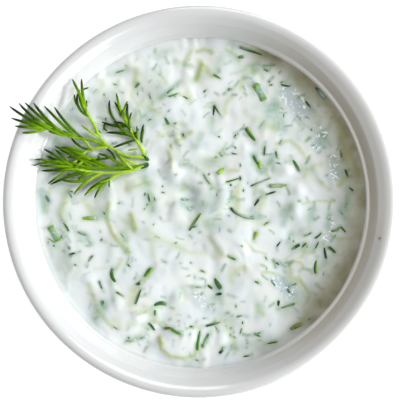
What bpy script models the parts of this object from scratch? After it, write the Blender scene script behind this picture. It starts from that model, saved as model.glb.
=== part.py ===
"""A small round ceramic bowl of tzatziki with a sprig of dill laid over its edge.

The origin is the centre of the foot ring's underside, with +Z up. The sprig leans out over the rim at -X, +Y.
Three pieces: the bowl, the dip that fills it up to its level, and the sprig, whose cut end sits in the dip.
"""

import bmesh
import bpy
import numpy as np

MM = 0.001

# The bowl, turned about Z. Radii and heights of its lip, inner wall, outer wall and foot.
BOWL_RADIUS = 60 * MM
BOWL_HEIGHT = 48 * MM
LIP_INNER_RADIUS = 56.2 * MM
LIP_INNER_HEIGHT = 47.1 * MM
LIP_OUTER_HEIGHT = 46.1 * MM
CHAMFER_RADIUS = 54.4 * MM
CHAMFER_HEIGHT = 45.7 * MM
WALL_RADIUS = 53.3 * MM
WALL_HEIGHT = 43.8 * MM
LEDGE_RADIUS = 51.5 * MM
LEDGE_HEIGHT = 41.4 * MM
LEDGE_WIDTH = 0.6 * MM
LEDGE_RISE = 0.3 * MM
DIP_EDGE_RADIUS = 50.7 * MM
DIP_EDGE_HEIGHT = 39.2 * MM
FLOOR_HEIGHT = 7.6 * MM
FLARE_RADIUS = 56.4 * MM
FLARE_HEIGHT = 39 * MM
FOOT_TOP_RADIUS = 32 * MM
FOOT_TOP_HEIGHT = 5.2 * MM
FOOT_RADIUS = 31 * MM
FOOT_WIDTH = 3.2 * MM
FOOT_BEVEL = 0.8 * MM
RECESS_HEIGHT = 2.8 * MM
RECESS_DROP = 0.3 * MM
TURN_STEPS = 56
# Where the section's curves are pulled, as (radius, height), and how many points each curve has.
CAVITY_PULLS = ((26 * MM, FLOOR_HEIGHT), (47 * MM, 22 * MM))
CAVITY_POINTS = 9
LIP_PULLS = ((57.8 * MM, 48.4 * MM), (60.4 * MM, 48.5 * MM))
LIP_POINTS = 8
FLARE_PULLS = ((59.8 * MM, 44 * MM), (57.2 * MM, 42.2 * MM))
FLARE_POINTS = 4
SIDE_PULLS = ((54.5 * MM, 25 * MM), (46 * MM, 11 * MM))
SIDE_POINTS = 7

# The dip, filled to this level, with a gap to the bowl that holds it.
DIP_LEVEL = 40 * MM
GAP = 0.3 * MM
TOP_RINGS = 15
TOUCHING = 0.01 * MM
EDGE_RISE = 0.25 * MM
EDGE_RISE_WIDTH = 0.9 * MM
# Swells as wavelength and height (mm), heading and phase (rad).
SWELLS = ((23, 0.20, 0.4, 0.3), (17, 0.14, 2.1, 1.7), (12, 0.08, 4.0, 5.1))
# Mounds as place, radius and height (mm), with a negative height for a hollow. They fall off this fast.
MOUND_FALL = 1.4
MOUNDS = (
    (-8.5, 9.8, 2.6, 1.2), (-12.5, 12.4, 2.6, -0.6), (-3.0, 1.5, 3.8, -1.0), (27.0, 10.0, 2.4, 0.9),
    (30.6, 3.0, 2.4, 1.0), (29.4, -3.0, 2.2, 0.8), (28.6, -9.8, 3.0, -0.9), (6.5, 42.0, 5.5, 0.9),
    (29.5, 30.0, 6.5, -0.9), (26.0, -27.0, 5.5, -0.8), (-6.5, -43.0, 6.0, 0.6), (-29.0, -2.5, 3.6, 0.7),
    (-25.0, -11.5, 4.0, 0.7), (-22.0, -33.0, 9.0, 0.6), (12.0, 12.0, 6.0, 0.6), (12.5, -12.0, 7.0, 0.5),
    (40.0, 12.0, 6.0, -0.6), (-37.0, -14.0, 6.0, 0.5), (-14.0, 34.0, 7.0, 0.5), (3.0, -24.0, 6.0, -0.5),
)  # fmt: skip

# The sprig, seen from above: each frond's stalk as a route (mm), and its leaves. A leaf starts at a share
# of the stalk with a heading in degrees from +X, runs for its length (mm) and turns by its bend in degrees.
STEM_END = (-14.9, 12.3)
STEM_DEPTH = 1.9 * MM
STEM_DIVE_LENGTH = 3.2 * MM
STALK_RADIUS = 0.75 * MM
STALK_TIP_RADIUS = 0.5 * MM
LEAF_RADIUS = 0.48 * MM
LEAF_TIP_RADIUS = 0.22 * MM
LEAF_ARCH = 0.06
LEAF_SEGMENTS = 4
STALK_SPACING = 2.6 * MM
ROUTE_STEPS = 12
SOCKET_CORNERS = 4
SOCKET_GAP = GAP + 0.1 * MM
SOCKET_OVERRUN = 0.2
CLEARANCE = 0.6 * MM
RIM_RADIUS = 57 * MM
RIM_CLEARANCE = 0.3 * MM
SUNK_FRONDS = ("top", "wide", "inner")
FRONDS = {
    "top": {
        "stalk": [(-16.5, 13.5), (-22, 14), (-27, 16.5), (-30.5, 19.5), (-33, 24.5), (-35, 28)],
        "rise_from": 42,
        "lift": 0.6,
        "leaves": [(1.0, 110, 10, 15), (1.0, 98, 9, -8), (0.9, 165, 8, -75), (0.65, 170, 7.5, -30)],
    },
    "rim": {
        "stalk": [(-28.5, 17), (-33, 19), (-39, 20), (-43.5, 21.5), (-47.5, 22.5)],
        "rise_from": 40,
        "lift": 0.6,
        "leaves": [
            (1.0, 180, 8.5, -8), (0.95, 200, 7, -18), (0.85, 156, 13, 18), (0.8, 162, 15.5, -20),
            (0.7, 158, 15.5, -28), (0.75, 145, 12.5, -10), (0.8, 140, 10.5, -18), (0.4, 140, 14.5, 5),
            (0.35, 148, 12.5, -28), (0.5, 150, 9, 10),
        ],
    },
    "wide": {
        "stalk": [(-16.5, 11), (-20, 10.5), (-25, 10), (-30, 10), (-35, 10.5), (-42, 11.5)],
        "rise_from": 46,
        "lift": 0.2,
        "leaves": [
            (1.0, 135, 8.5, 15), (1.0, 160, 9, 15), (0.9, 156, 12, 50), (0.85, 178, 11.5, 0),
            (0.95, 148, 7.5, 12), (0.7, 194, 12, 8), (0.5, 210, 14.5, -40), (0.5, 164, 13, -5),
            (0.3, 138, 9, 24), (0.75, 150, 10, -25), (0.65, 155, 11, 0),
        ],
    },
    "low": {
        "stalk": [(-18.5, 10.5), (-21, 9.5), (-25, 8.5), (-28.5, 6.5), (-32, 4.5)],
        "rise_from": 46,
        "lift": 0.2,
        "leaves": [(1.0, 208, 4.5, 15), (0.6, 194, 10, 34), (0.65, 218, 7, 30), (0.4, 194, 16, 16)],
    },
    "inner": {
        "stalk": [(-16.5, 14), (-18, 16.5), (-20, 20), (-22, 23.5), (-24, 27)],
        "rise_from": 46,
        "lift": 0.2,
        "leaves": [
            (1.0, 104, 7, 6), (1.0, 72, 4.5, -8), (0.6, 108, 8.5, -20), (0.65, 100, 5.5, -20),
            (0.6, 128, 7, 45), (0.7, 178, 8.5, -24), (0.5, 160, 9, 15), (0.45, 198, 7.5, 4),
        ],
    },
}  # fmt: skip

# Colours as each piece's own material, linear RGB, with its roughness.
GLAZE = ((0.80, 0.81, 0.82), 0.12)
YOGURT = ((0.80, 0.82, 0.79), 0.35)
DILL = ((0.09, 0.20, 0.012), 0.5)


def clear_scene():
    for obj in list(bpy.data.objects):
        bpy.data.objects.remove(obj)


def new_collection(name):
    collection = bpy.data.collections.new(name)
    bpy.context.scene.collection.children.link(collection)
    return collection


def material(name, colour, roughness):
    made = bpy.data.materials.new(name)
    made.use_nodes = True
    shader = made.node_tree.nodes["Principled BSDF"]
    shader.inputs["Base Color"].default_value = (*colour, 1)
    shader.inputs["Roughness"].default_value = roughness
    shader.inputs["Metallic"].default_value = 0
    made.diffuse_color = (*colour, 1)
    return made


def bezier(start, start_pull, end_pull, end, count):
    """Count points along a cubic curve between two (radius, height) points, both ends among them."""
    t = np.linspace(0, 1, count)[:, None]
    corners = [np.array(p, float) for p in (start, start_pull, end_pull, end)]
    a, b, c, d = corners
    return (1 - t) ** 3 * a + 3 * (1 - t) ** 2 * t * b + 3 * (1 - t) * t**2 * c + t**3 * d


def cavity():
    """The bowl's inner surface from the middle of its floor up to the dip's edge."""
    return bezier((0, FLOOR_HEIGHT), *CAVITY_PULLS, (DIP_EDGE_RADIUS, DIP_EDGE_HEIGHT), CAVITY_POINTS)


def upper_wall():
    """The inner surface over the dip: a narrow ledge, the steep wall and the chamfer below the lip."""
    return np.array(
        [
            (LEDGE_RADIUS, LEDGE_HEIGHT),
            (LEDGE_RADIUS + LEDGE_WIDTH, LEDGE_HEIGHT + LEDGE_RISE),
            (WALL_RADIUS, WALL_HEIGHT),
            (CHAMFER_RADIUS, CHAMFER_HEIGHT),
            (LIP_INNER_RADIUS, LIP_INNER_HEIGHT),
        ]
    )


def bowl_profile():
    """The whole section: from the floor's middle, over the lip and down the outside, to the recess."""
    lip_start = (LIP_INNER_RADIUS, LIP_INNER_HEIGHT)
    lip_end = (BOWL_RADIUS, LIP_OUTER_HEIGHT)
    flare_end = (FLARE_RADIUS, FLARE_HEIGHT)
    side_end = (FOOT_TOP_RADIUS, FOOT_TOP_HEIGHT)
    lip = bezier(lip_start, *LIP_PULLS, lip_end, LIP_POINTS)[1:]
    flare = bezier(lip_end, *FLARE_PULLS, flare_end, FLARE_POINTS)[1:]
    side = bezier(flare_end, *SIDE_PULLS, side_end, SIDE_POINTS)[1:]
    foot = [
        (FOOT_RADIUS, FOOT_TOP_HEIGHT - FOOT_BEVEL),
        (FOOT_RADIUS, FOOT_BEVEL),
        (FOOT_RADIUS - FOOT_BEVEL, 0),
        (FOOT_RADIUS - FOOT_WIDTH - FOOT_BEVEL, 0),
        (FOOT_RADIUS - FOOT_WIDTH - 2 * FOOT_BEVEL, FOOT_BEVEL),
        (FOOT_RADIUS - FOOT_WIDTH - 2 * FOOT_BEVEL, RECESS_HEIGHT - RECESS_DROP),
        (0, RECESS_HEIGHT),
    ]
    return np.vstack([cavity(), upper_wall(), lip, flare, side, foot])


def wall_radius(height):
    """Radius of the bowl's inner surface at a height near the dip's level."""
    inner = np.vstack([cavity(), upper_wall()])
    return np.interp(height, inner[:, 1], inner[:, 0])


def inset(profile, distance):
    """The profile moved inwards and upwards along its own normals, with its first point kept on the axis."""
    along = np.gradient(profile, axis=0)
    along /= np.linalg.norm(along, axis=1)[:, None]
    moved = profile + distance * np.column_stack([-along[:, 1], along[:, 0]])
    moved[0] = (0, profile[0, 1] + distance)
    return moved


def turned(name, profile, collection):
    """A solid of revolution about Z, from a section in (radius, height)."""
    mesh = bpy.data.meshes.new(name)
    points = [(r, 0, z) for r, z in profile]
    mesh.from_pydata(points, [(i, i + 1) for i in range(len(points) - 1)], [])
    obj = bpy.data.objects.new(name, mesh)
    collection.objects.link(obj)
    screw = obj.modifiers.new("turn", "SCREW")
    screw.steps = screw.render_steps = TURN_STEPS
    screw.use_merge_vertices = True
    screw.merge_threshold = TOUCHING
    return obj


def applied(obj):
    """The object as a plain mesh, its modifiers or its curve resolved, and a curve's loose caps welded on."""
    collection = obj.users_collection[0]
    name = obj.name
    graph = bpy.context.evaluated_depsgraph_get()
    mesh = bpy.data.meshes.new_from_object(obj.evaluated_get(graph))
    if obj.type == "CURVE":
        weld(mesh)
    place = obj.matrix_world.copy()
    bpy.data.objects.remove(obj)
    made = bpy.data.objects.new(name, mesh)
    made.matrix_world = place
    collection.objects.link(made)
    return made


def weld(mesh):
    edit = bmesh.new()
    edit.from_mesh(mesh)
    bmesh.ops.remove_doubles(edit, verts=edit.verts, dist=TOUCHING)
    bmesh.ops.recalc_face_normals(edit, faces=edit.faces)
    edit.to_mesh(mesh)
    edit.free()


def relief(x, y):
    """Height over the dip's level: swells and round mounds, and a small rise where it wets the wall."""
    height = np.zeros_like(x)
    for length, rise, heading, phase in SWELLS:
        across = (x * np.cos(heading) + y * np.sin(heading)) / (length * MM)
        height += rise * MM * np.sin(2 * np.pi * across + phase)
    for mound_x, mound_y, radius, rise in MOUNDS:
        away = ((x - mound_x * MM) ** 2 + (y - mound_y * MM) ** 2) / (radius * MM) ** 2
        height += rise * MM * np.exp(-MOUND_FALL * away)
    to_wall = np.clip(DIP_EDGE_RADIUS - np.hypot(x, y), 0, None)
    return height + EDGE_RISE * np.exp(-((to_wall / EDGE_RISE_WIDTH) ** 2))


def make_bowl(collection):
    bowl = turned("bowl", bowl_profile(), collection)
    bowl.data.materials.append(material("glaze", *GLAZE))
    bowl.data.shade_smooth()
    return bowl


def make_dip(collection, socket):
    """The dip: a turned body to fit the cavity, with its top shaped by the relief and cut round the sprig."""
    side = inset(cavity(), GAP)[::-1]
    top = np.linspace(0, side[0, 0], TOP_RINGS + 1)[:-1]
    profile = np.vstack([[(r, DIP_LEVEL) for r in top], [(side[0, 0], DIP_LEVEL)], side[1:]])
    dip = applied(turned("dip", profile, collection))
    for vertex in dip.data.vertices:
        if vertex.co.z < DIP_LEVEL - TOUCHING:
            continue
        x, y, _ = vertex.co
        rise = float(relief(np.array(x), np.array(y)))
        vertex.co.z = DIP_LEVEL + rise
        radius = np.hypot(x, y)
        if radius > side[0, 0] - TOUCHING:
            snug = (wall_radius(vertex.co.z) - GAP) / radius
            vertex.co.x *= snug
            vertex.co.y *= snug
    cut = dip.modifiers.new("stem socket", "BOOLEAN")
    cut.operation = "DIFFERENCE"
    cut.solver = "MANIFOLD"  # EXACT leaves nothing of this body
    cut.object = socket
    dip.data.materials.append(material("yogurt", *YOGURT))
    dip.data.shade_smooth()
    return dip


def bed(x, y, rise_from):
    """Height of what a thread of the sprig lies on: the dip, a straight slope up to the lip, then level."""
    radius = np.hypot(x, y)
    slope = np.clip((radius - rise_from) / (RIM_RADIUS - rise_from), 0, 1)
    near = np.minimum(1, rise_from / np.maximum(radius, 1e-6))
    low = DIP_LEVEL + relief(x * near, y * near)
    return low * (1 - slope) + (BOWL_HEIGHT + RIM_CLEARANCE) * slope


def route_points(corners, spacing):
    """Evenly spaced points along a smooth curve through the corners (Catmull-Rom)."""
    corners = np.array(corners, float) * MM
    padded = np.vstack([2 * corners[0] - corners[1], corners, 2 * corners[-1] - corners[-2]])
    dense = []
    for a, b, c, d in zip(padded, padded[1:], padded[2:], padded[3:]):
        for t in np.linspace(0, 1, ROUTE_STEPS, endpoint=False):
            steep = 2 * a - 5 * b + 4 * c - d
            dense.append(0.5 * (2 * b + (c - a) * t + steep * t**2 + (3 * b - a - 3 * c + d) * t**3))
    dense = np.array([*dense, corners[-1]])
    run = np.r_[0, np.cumsum(np.linalg.norm(np.diff(dense, axis=0), axis=1))]
    stops = np.linspace(0, run[-1], max(3, int(round(run[-1] / spacing)) + 1))
    return np.column_stack([np.interp(stops, run, dense[:, i]) for i in range(2)])


def leaf_points(stalk, share, heading, length, bend):
    """A thread seen from above: from its share of the stalk, it turns evenly from its heading by its bend."""
    place = share * (len(stalk) - 1)
    index = min(int(place), len(stalk) - 2)
    base = stalk[index] + (stalk[index + 1] - stalk[index]) * (place - index)
    middles = (np.arange(LEAF_SEGMENTS) + 0.5) / LEAF_SEGMENTS
    angles = np.radians(heading + bend * middles)
    steps = length * MM / LEAF_SEGMENTS * np.column_stack([np.cos(angles), np.sin(angles)])
    return base + np.vstack([np.zeros((1, 2)), np.cumsum(steps, axis=0)])


def tube(name, points, start_radius, end_radius, sides_resolution, collection):
    """A tapered thread with closed ends, as a mesh."""
    curve = bpy.data.curves.new(name, "CURVE")
    curve.dimensions = "3D"
    curve.bevel_depth = 1
    curve.bevel_resolution = sides_resolution
    curve.use_fill_caps = True
    spline = curve.splines.new("POLY")
    spline.points.add(len(points) - 1)
    for i, (point, stop) in enumerate(zip(points, spline.points)):
        stop.co = (*point, 1)
        stop.radius = start_radius + (end_radius - start_radius) * i / (len(points) - 1)
    obj = bpy.data.objects.new(name, curve)
    collection.objects.link(obj)
    return applied(obj)


def laid(flat, frond, base_height=None, arch=0.0):
    """Flat points raised over what is under them, with an arch, and a leaf's base at the stalk's height."""
    t = np.linspace(0, 1, len(flat))
    height = bed(flat[:, 0], flat[:, 1], frond["rise_from"] * MM) + CLEARANCE + STALK_RADIUS
    height += frond["lift"] * MM
    if base_height is not None:
        height += (base_height - height[0]) * (1 - t) ** 2
    return np.column_stack([flat, height + arch * 4 * t * (1 - t)])


def stalk_of(frond, sunk):
    """A frond's stalk in space. A sunk one starts at the stem's cut end, under the dip's surface."""
    route = [STEM_END, *frond["stalk"]] if sunk else frond["stalk"]
    points = laid(route_points(route, STALK_SPACING), frond)
    if sunk:
        away = np.linalg.norm(points[:, :2] - np.array(STEM_END) * MM, axis=1)
        dive = np.clip(1 - away / STEM_DIVE_LENGTH, 0, 1)
        points[:, 2] -= (CLEARANCE + STALK_RADIUS + STEM_DEPTH) * dive
    return points


def make_sprig(collection, cutters):
    """The sprig as one body, and the wider copy of its buried stalks that cuts their socket in the dip."""
    threads = []
    buried = []
    for name, frond in FRONDS.items():
        sunk = name in SUNK_FRONDS
        stalk = stalk_of(frond, sunk)
        threads.append(tube(f"{name}_stalk", stalk, STALK_RADIUS, STALK_TIP_RADIUS, 1, cutters))
        if sunk:
            end = stalk[:SOCKET_CORNERS].copy()
            end[0] += SOCKET_OVERRUN * (stalk[0] - stalk[1])
            wide = STALK_RADIUS + SOCKET_GAP
            buried.append(tube(f"{name}_socket", end, wide, wide, 1, cutters))
        flat = stalk[:, :2]
        for number, (share, heading, length, bend) in enumerate(frond["leaves"]):
            seen = leaf_points(flat, share, heading, length, bend)
            place = share * (len(stalk) - 1)
            base_height = np.interp(place, np.arange(len(stalk)), stalk[:, 2])
            points = laid(seen, frond, base_height, LEAF_ARCH * length * MM)
            threads.append(tube(f"{name}_leaf_{number}", points, LEAF_RADIUS, LEAF_TIP_RADIUS, 0, cutters))
    sprig = joined("dill_sprig", threads, collection)
    sprig.data.materials.append(material("dill", *DILL))
    return sprig, joined("stem_socket", buried, cutters)


def joined(name, pieces, collection):
    """One closed body from overlapping pieces, by Boolean union, after which the pieces are removed."""
    first, *others = pieces
    for other in others:
        union = first.modifiers.new(other.name, "BOOLEAN")
        union.operation = "UNION"
        union.solver = "MANIFOLD"
        union.object = other
    made = applied(first)
    made.name = name
    made.users_collection[0].objects.unlink(made)
    collection.objects.link(made)
    for other in others:
        bpy.data.objects.remove(other)
    return made


def main():
    clear_scene()
    parts = new_collection("tzatziki_bowl")
    cutters = new_collection("cutters")
    make_bowl(parts)
    _, socket = make_sprig(parts, cutters)
    socket.hide_render = True
    socket.display_type = "WIRE"
    make_dip(parts, socket)


main()
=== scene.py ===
"""The looks of a small bowl of tzatziki with a sprig of dill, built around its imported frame.

A glazed bowl, the stirred yogurt in it, shreds of cucumber, chopped dill and chives, and the sprig that
leans over the lip at -X, +Y. Heights and radii are the frame's. The origin is under the foot ring's middle.
"""

import math

import bpy
import numpy as np
from bpy.props import FloatProperty, FloatVectorProperty, IntProperty, PointerProperty
from mathutils import Matrix, Vector


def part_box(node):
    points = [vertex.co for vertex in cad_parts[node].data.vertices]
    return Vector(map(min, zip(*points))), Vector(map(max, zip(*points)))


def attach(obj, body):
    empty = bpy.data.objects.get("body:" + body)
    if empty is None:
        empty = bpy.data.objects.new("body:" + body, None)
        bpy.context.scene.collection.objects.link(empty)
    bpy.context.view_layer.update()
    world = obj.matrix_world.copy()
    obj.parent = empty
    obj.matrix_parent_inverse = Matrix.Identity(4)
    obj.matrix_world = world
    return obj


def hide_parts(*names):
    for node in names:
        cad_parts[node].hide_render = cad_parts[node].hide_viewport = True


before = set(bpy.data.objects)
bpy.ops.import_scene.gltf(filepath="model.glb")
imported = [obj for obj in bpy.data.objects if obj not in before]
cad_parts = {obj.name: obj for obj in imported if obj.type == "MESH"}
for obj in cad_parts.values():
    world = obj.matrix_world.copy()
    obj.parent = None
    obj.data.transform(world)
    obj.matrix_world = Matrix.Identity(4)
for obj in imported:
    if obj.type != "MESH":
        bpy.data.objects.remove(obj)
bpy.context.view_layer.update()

bl_info = {
    "name": "Tzatziki Bowl",
    "version": (1, 0, 0),
    "blender": (4, 5, 0),
    "location": "3D View > Sidebar > Tzatziki",
    "description": "Builds a glazed bowl of tzatziki with chopped herbs and a sprig of dill",
    "category": "Add Mesh",
}

MM = 0.001
BOWL_LOW, BOWL_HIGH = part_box("bowl")
BOWL_RADIUS = BOWL_HIGH.x
BOWL_HEIGHT = BOWL_HIGH.z
DIP_EDGE_RADIUS = BOWL_RADIUS - 9.3 * MM
DIP_LEVEL = 40 * MM

# The bowl's section, in millimetres of radius and height: curves as start, two pulls and end, and the
# upper wall and the foot as corners that are softened afterwards.
CAVITY = ((0, 7.6), (26, 7.6), (47, 22), (50.7, 39.2))
UPPER_WALL = (
    (50.7, 39.2), (51.3, 41.1), (51.5, 41.4), (52.1, 41.7), (53.3, 43.8), (54.4, 45.7), (56.2, 47.1),
)
LIP = ((56.2, 47.1), (57.8, 48.4), (60.4, 48.5), (60, 46.1))
FLARE = ((60, 46.1), (59.8, 44), (57.2, 42.2), (56.4, 39))
SIDE = ((56.4, 39), (54.5, 25), (46, 11), (32, 5.2))
FOOT = ((32, 5.2), (31, 4.2), (31, 0.8), (30.2, 0), (27, 0), (26.2, 0.8), (26.2, 2.5), (24, 2.8))
FLOOR_HEIGHT = CAVITY[0][1] * MM
RECESS_HEIGHT = FOOT[-1][1] * MM
# Radii of the rings next to the two points on the axis.
FIRST_RING = 1.5 * MM
LAST_RING = 8 * MM

# Where the glaze's looks change: bands as the radii where each starts, is full, fades and ends, and the
# one dark speck by the lip.
# Painted shade on the inner wall over the dip, towards +X: two bands, the upper one fainter.
WALL_SHADE_BAND = (52.1 * MM, 52.6 * MM, 54.1 * MM, 54.9 * MM)
UPPER_WALL_SHADE_BAND = (54.1 * MM, 54.9 * MM, 56.2 * MM, 57.5 * MM)
# A painted highlight on the ledge, towards +X.
LEDGE_HIGHLIGHT = (51.5 * MM, 51.75 * MM, 52.1 * MM, 52.35 * MM)
# A thin dark ring at the corner under the chamfer: painted shade, faint all round and deeper towards +X.
CORNER_SHADE_RING = (54.3 * MM, 54.5 * MM, 54.6 * MM, 54.8 * MM)
SPECK_PLACE = (55 * MM, -11.8 * MM, 47 * MM)
SPECK_HALO = (0.55 * MM, 1.2 * MM)
SPECK_CORE = (0.4 * MM, 0.6 * MM)

# The dip's broad relief: swells as wavelength and height (mm), heading and phase (rad), and mounds or
# hollows as place, radius and height (mm).
SWELLS = ((23, 0.2, 0.4, 0.3), (17, 0.14, 2.1, 1.7), (12, 0.08, 4, 5.1))
MOUNDS = (
    (-8.5, 9.8, 2.6, 1.2), (-12.5, 12.4, 2.6, -0.6), (-3, 1.5, 3.8, -1), (27, 10, 2.4, 0.9),
    (30.6, 3, 2.4, 1), (29.4, -3, 2.2, 0.8), (28.6, -9.8, 3, -0.9), (6.5, 42, 5.5, 0.9),
    (29.5, 30, 6.5, -0.9), (26, -27, 5.5, -0.8), (-6.5, -43, 6, 0.6), (-29, -2.5, 3.6, 0.7),
    (-25, -11.5, 4, 0.7), (-22, -33, 9, 0.6), (12, 12, 6, 0.6), (12.5, -12, 7, 0.5), (40, 12, 6, -0.6),
    (-37, -14, 6, 0.5), (-14, 34, 7, 0.5), (3, -24, 6, -0.5),
)
# How steeply a mound falls off at its radius.
MOUND_FALL = 1.4
EDGE_RISE = 0.25 * MM
EDGE_RISE_WIDTH = 0.9 * MM
RIM_CORNER = math.radians(50)
CREASE_BEND = 1.5 * MM
CREASE_BEND_LENGTH = 19 * MM
RIPPLE_LENGTH = 4.6 * MM
CUCUMBER_RIDGE = 0.26 * MM
HIDDEN_RIDGE = 0.20 * MM
INTO_WALL = 0.12 * MM
SKIRT_GAP = 0.3 * MM
SKIRT_LIFT = 0.2 * MM

# Shreds and slices of cucumber under the yogurt's skin: colour strength, half width (mm) and route (mm).
CUCUMBER = (
    (0.95, 1, ((1, 42.5), (0.2, 40.5), (-0.7, 38))),
    (0.6, 0.9, ((-2.5, 47), (-3.5, 45.2), (-4, 43.5))),
    (0.7, 0.8, ((-0.5, 46.8), (2, 47.4), (4.2, 46.4))),
    (0.5, 0.8, ((8.5, 47.5), (11, 46), (12.5, 44))),
    (0.6, 1.2, ((-19.5, 41), (-19.8, 37))),
    (0.75, 0.9, ((-7, 18.6), (-4.5, 20.5), (-2.2, 21.6))),
    (0.6, 0.9, ((-9.5, 15.5), (-8.6, 13.5), (-8.8, 11))),
    (0.8, 0.8, ((-27.9, -0.5), (-28.6, -5), (-27, -9.5), (-23.6, -13.6))),
    (0.95, 1.1, ((-21, -4), (-20, -8.5))),
    (0.95, 0.9, ((-22.3, -14.4), (-22.3, -15.4))),
    (0.35, 1.6, ((-16, -9), (-10, -12.5), (-6, -14))),
    (0.8, 0.7, ((-12.4, -42.6), (-11.6, -45.2), (-9, -47.4), (-4.6, -48.2), (-1.2, -47.2), (-0.6, -43.5))),
    (0.95, 0.9, ((-12.2, -42), (-11.6, -43.4))),
    (0.6, 0.8, ((-13.5, -37), (-10.5, -37.5), (-9, -39.2), (-5.3, -41))),
    (0.45, 0.9, ((-34, -25.5), (-31.8, -32.5), (-26.9, -38.5))),
    (0.55, 0.5, ((32, -0.7), (36.5, 0.2), (41.5, 0))),
    (0.6, 0.5, ((27.8, -19.6), (28.8, -18.4), (31.2, -18.6), (32, -20.2), (30.8, -21.6))),
    (0.6, 1.1, ((12.2, 5), (11.6, 1.5), (12, -2))),
    (0.55, 0.8, ((24, 17.8), (28, 19), (31, 16.5), (33.5, 13))),
    (0.7, 1, ((43.5, 20), (44.8, 16), (45.2, 12))),
    (0.6, 1.2, ((-40.5, 3.5), (-42, -1), (-43, -4))),
    (0.45, 1.2, ((-36, 0.5), (-33, -2.5))),
    (0.55, 1.4, ((29, -38.5), (31.5, -37.2))),
    (0.3, 1.4, ((40, -26), (36.5, -31), (32, -35))),
    (0.45, 0.6, ((14.5, -12), (17, -15), (20.5, -16))),
    (0.3, 0.8, ((-8, -13), (-2.5, -15.5), (2, -16))),
    (0.35, 0.9, ((-21, 22), (-19, 29), (-17, 32))),
    (0.4, 0.7, ((22.5, 13), (20.5, 10), (21.5, 7.5))),
    (0.5, 0.8, ((-24, -18), (-26.5, -22), (-27, -25))),
    (0.4, 0.5, ((-3.5, -25.8), (0, -26.2))),
    (0.45, 1.2, ((7.5, 15.5), (4.5, 13))),
    (0.4, 1.3, ((19.5, 3), (20, 0), (18.5, -2.5))),
    (0.45, 0.7, ((-3.5, -38.8), (1, -38.2))),
)

# Herbs and watery patches under the surface, which only tint it, then the painted shadow of the +X rim:
# strength, half width (mm) and route (mm).
SUNKEN = (
    (0.75, 1, ((-12.1, 32.4), (-6.3, 37.1))),
    (0.55, 1.1, ((-7.5, 44), (-3.5, 41.8))),
    (0.6, 1, ((-5.8, 11.4), (-2.5, 11))),
    (0.65, 1.5, ((-4.4, 5), (-1, 3))),
    (0.6, 1.6, ((-44.5, 19), (-43, 15))),
    (0.7, 1.3, ((-49.5, 3.5), (-47.8, -2.5))),
    (0.6, 1.9, ((-17, 7.5), (-15.8, 2.5), (-14.6, -2.8))),
    (0.55, 2.2, ((-5, -0.5), (-0.5, -1.8))),
    (0.55, 1.8, ((44.5, -1), (46, -7))),
    (0.45, 1.6, ((45.5, 3.5), (46.5, -1))),
    (0.6, 1.5, ((28, -10), (29, -14.5))),
    (0.4, 2, ((32, -14.5), (38, -14))),
    (0.5, 1.2, ((5, -26), (7, -31.5))),
    (0.35, 2.6, ((-41, -4), (-45, -12), (-40, -19))),
    (0.4, 1.6, ((-36.5, -11), (-33.5, -12.5))),
    (0.4, 1.4, ((17, 34), (15.5, 36.5))),
    (0.45, 1.2, ((34, 29.5), (37, 24.5))),
    (0.4, 1.1, ((20, 17.5), (17.5, 14))),
    (0.45, 1.2, ((16, -3), (19.5, -5))),
    (0.3, 2.2, ((-30, 30), (-25, 35))),
    (0.35, 1.8, ((-33, 6), (-28, 8))),
    (0.35, 2, ((10, -45), (22, -43))),
    (0.3, 2.4, ((26, -34), (34, -27))),
    (0.35, 1.2, ((-21, -42.3), (-16.5, -40.5))),
    (0.35, 1.5, ((-31.5, -34), (-28.5, -31))),
    (0.35, 1.4, ((40, -17.5), (43, -13))),
    (0.45, 1, ((2, -43), (3.8, -39.5))),
    (0.4, 0.9, ((38, 20.5), (40.5, 17))),
)
WHEY = (
    (1, 3.2, ((27.5, 33), (32, 28))),
    (1, 2.6, ((24.5, -24.5), (28.5, -28.5))),
    (0.7, 2.2, ((-1.5, -28.5), (2.5, -32.5))),
    (0.9, 2, ((38, 21.5), (36, 17.5))),
    (0.85, 1.8, ((41.5, 13), (42, 7))),
    (0.7, 2, ((40.5, -6), (39, -11))),
    (0.4, 2, ((-46, -17), (-42, -24))),
    (0.4, 1.5, ((-33, -31), (-30, -36))),
)
# Painted shadow that the +X rim casts on the yogurt by the wall, a dark brownish tint.
RIM_SHADOW_MARKS = (
    (0.95, 5, (
        (20, 47), (28, 42.4), (37, 34.6), (44.6, 24), (49.4, 12), (50.6, 0), (48.7, -14),
    )),
    (0.9, 5, ((48.7, -14), (43.5, -26.2), (36, -36))),
    (0.4, 2.6, ((36, -36), (20, -46.4))),
    (0.35, 5, ((46.5, 18), (46, 4))),
    (0.45, 4.5, ((44, -20), (36, -32))),
    (0.15, 9, ((36, 28), (44, 0), (36, -26))),
)
# How far a mark's bell reaches, in half widths, before it is left out.
MARK_REACH = 2.7
# Round slices under the skin: x, y, radius and height (mm).
SLICES = ((-22.1, -32.7, 10.4, 0.55), (-6.6, -43.5, 5.6, 0.5), (20.5, 22, 5, 0.3), (9.5, -9, 6, 0.25))
# Marks that a random draw places: seed, count, limits of strength, half width and length (mm), and bend
# (rad).
HIDDEN_SHREDS = (21, 120, (-0.4, 1), (0.9, 1.9), (2.5, 8.5), 1.2)
SPECKS = (31, 300, (0.2, 0.9), (0.22, 0.6), (0.2, 2.6), 0.6)
CLOUDS = (32, 100, (0.1, 0.55), (0.9, 2.6), (0.5, 6), 1)
SHREDS = (33, 85, (0.15, 0.6), (0.5, 1.3), (2, 8), 1.4)

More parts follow.
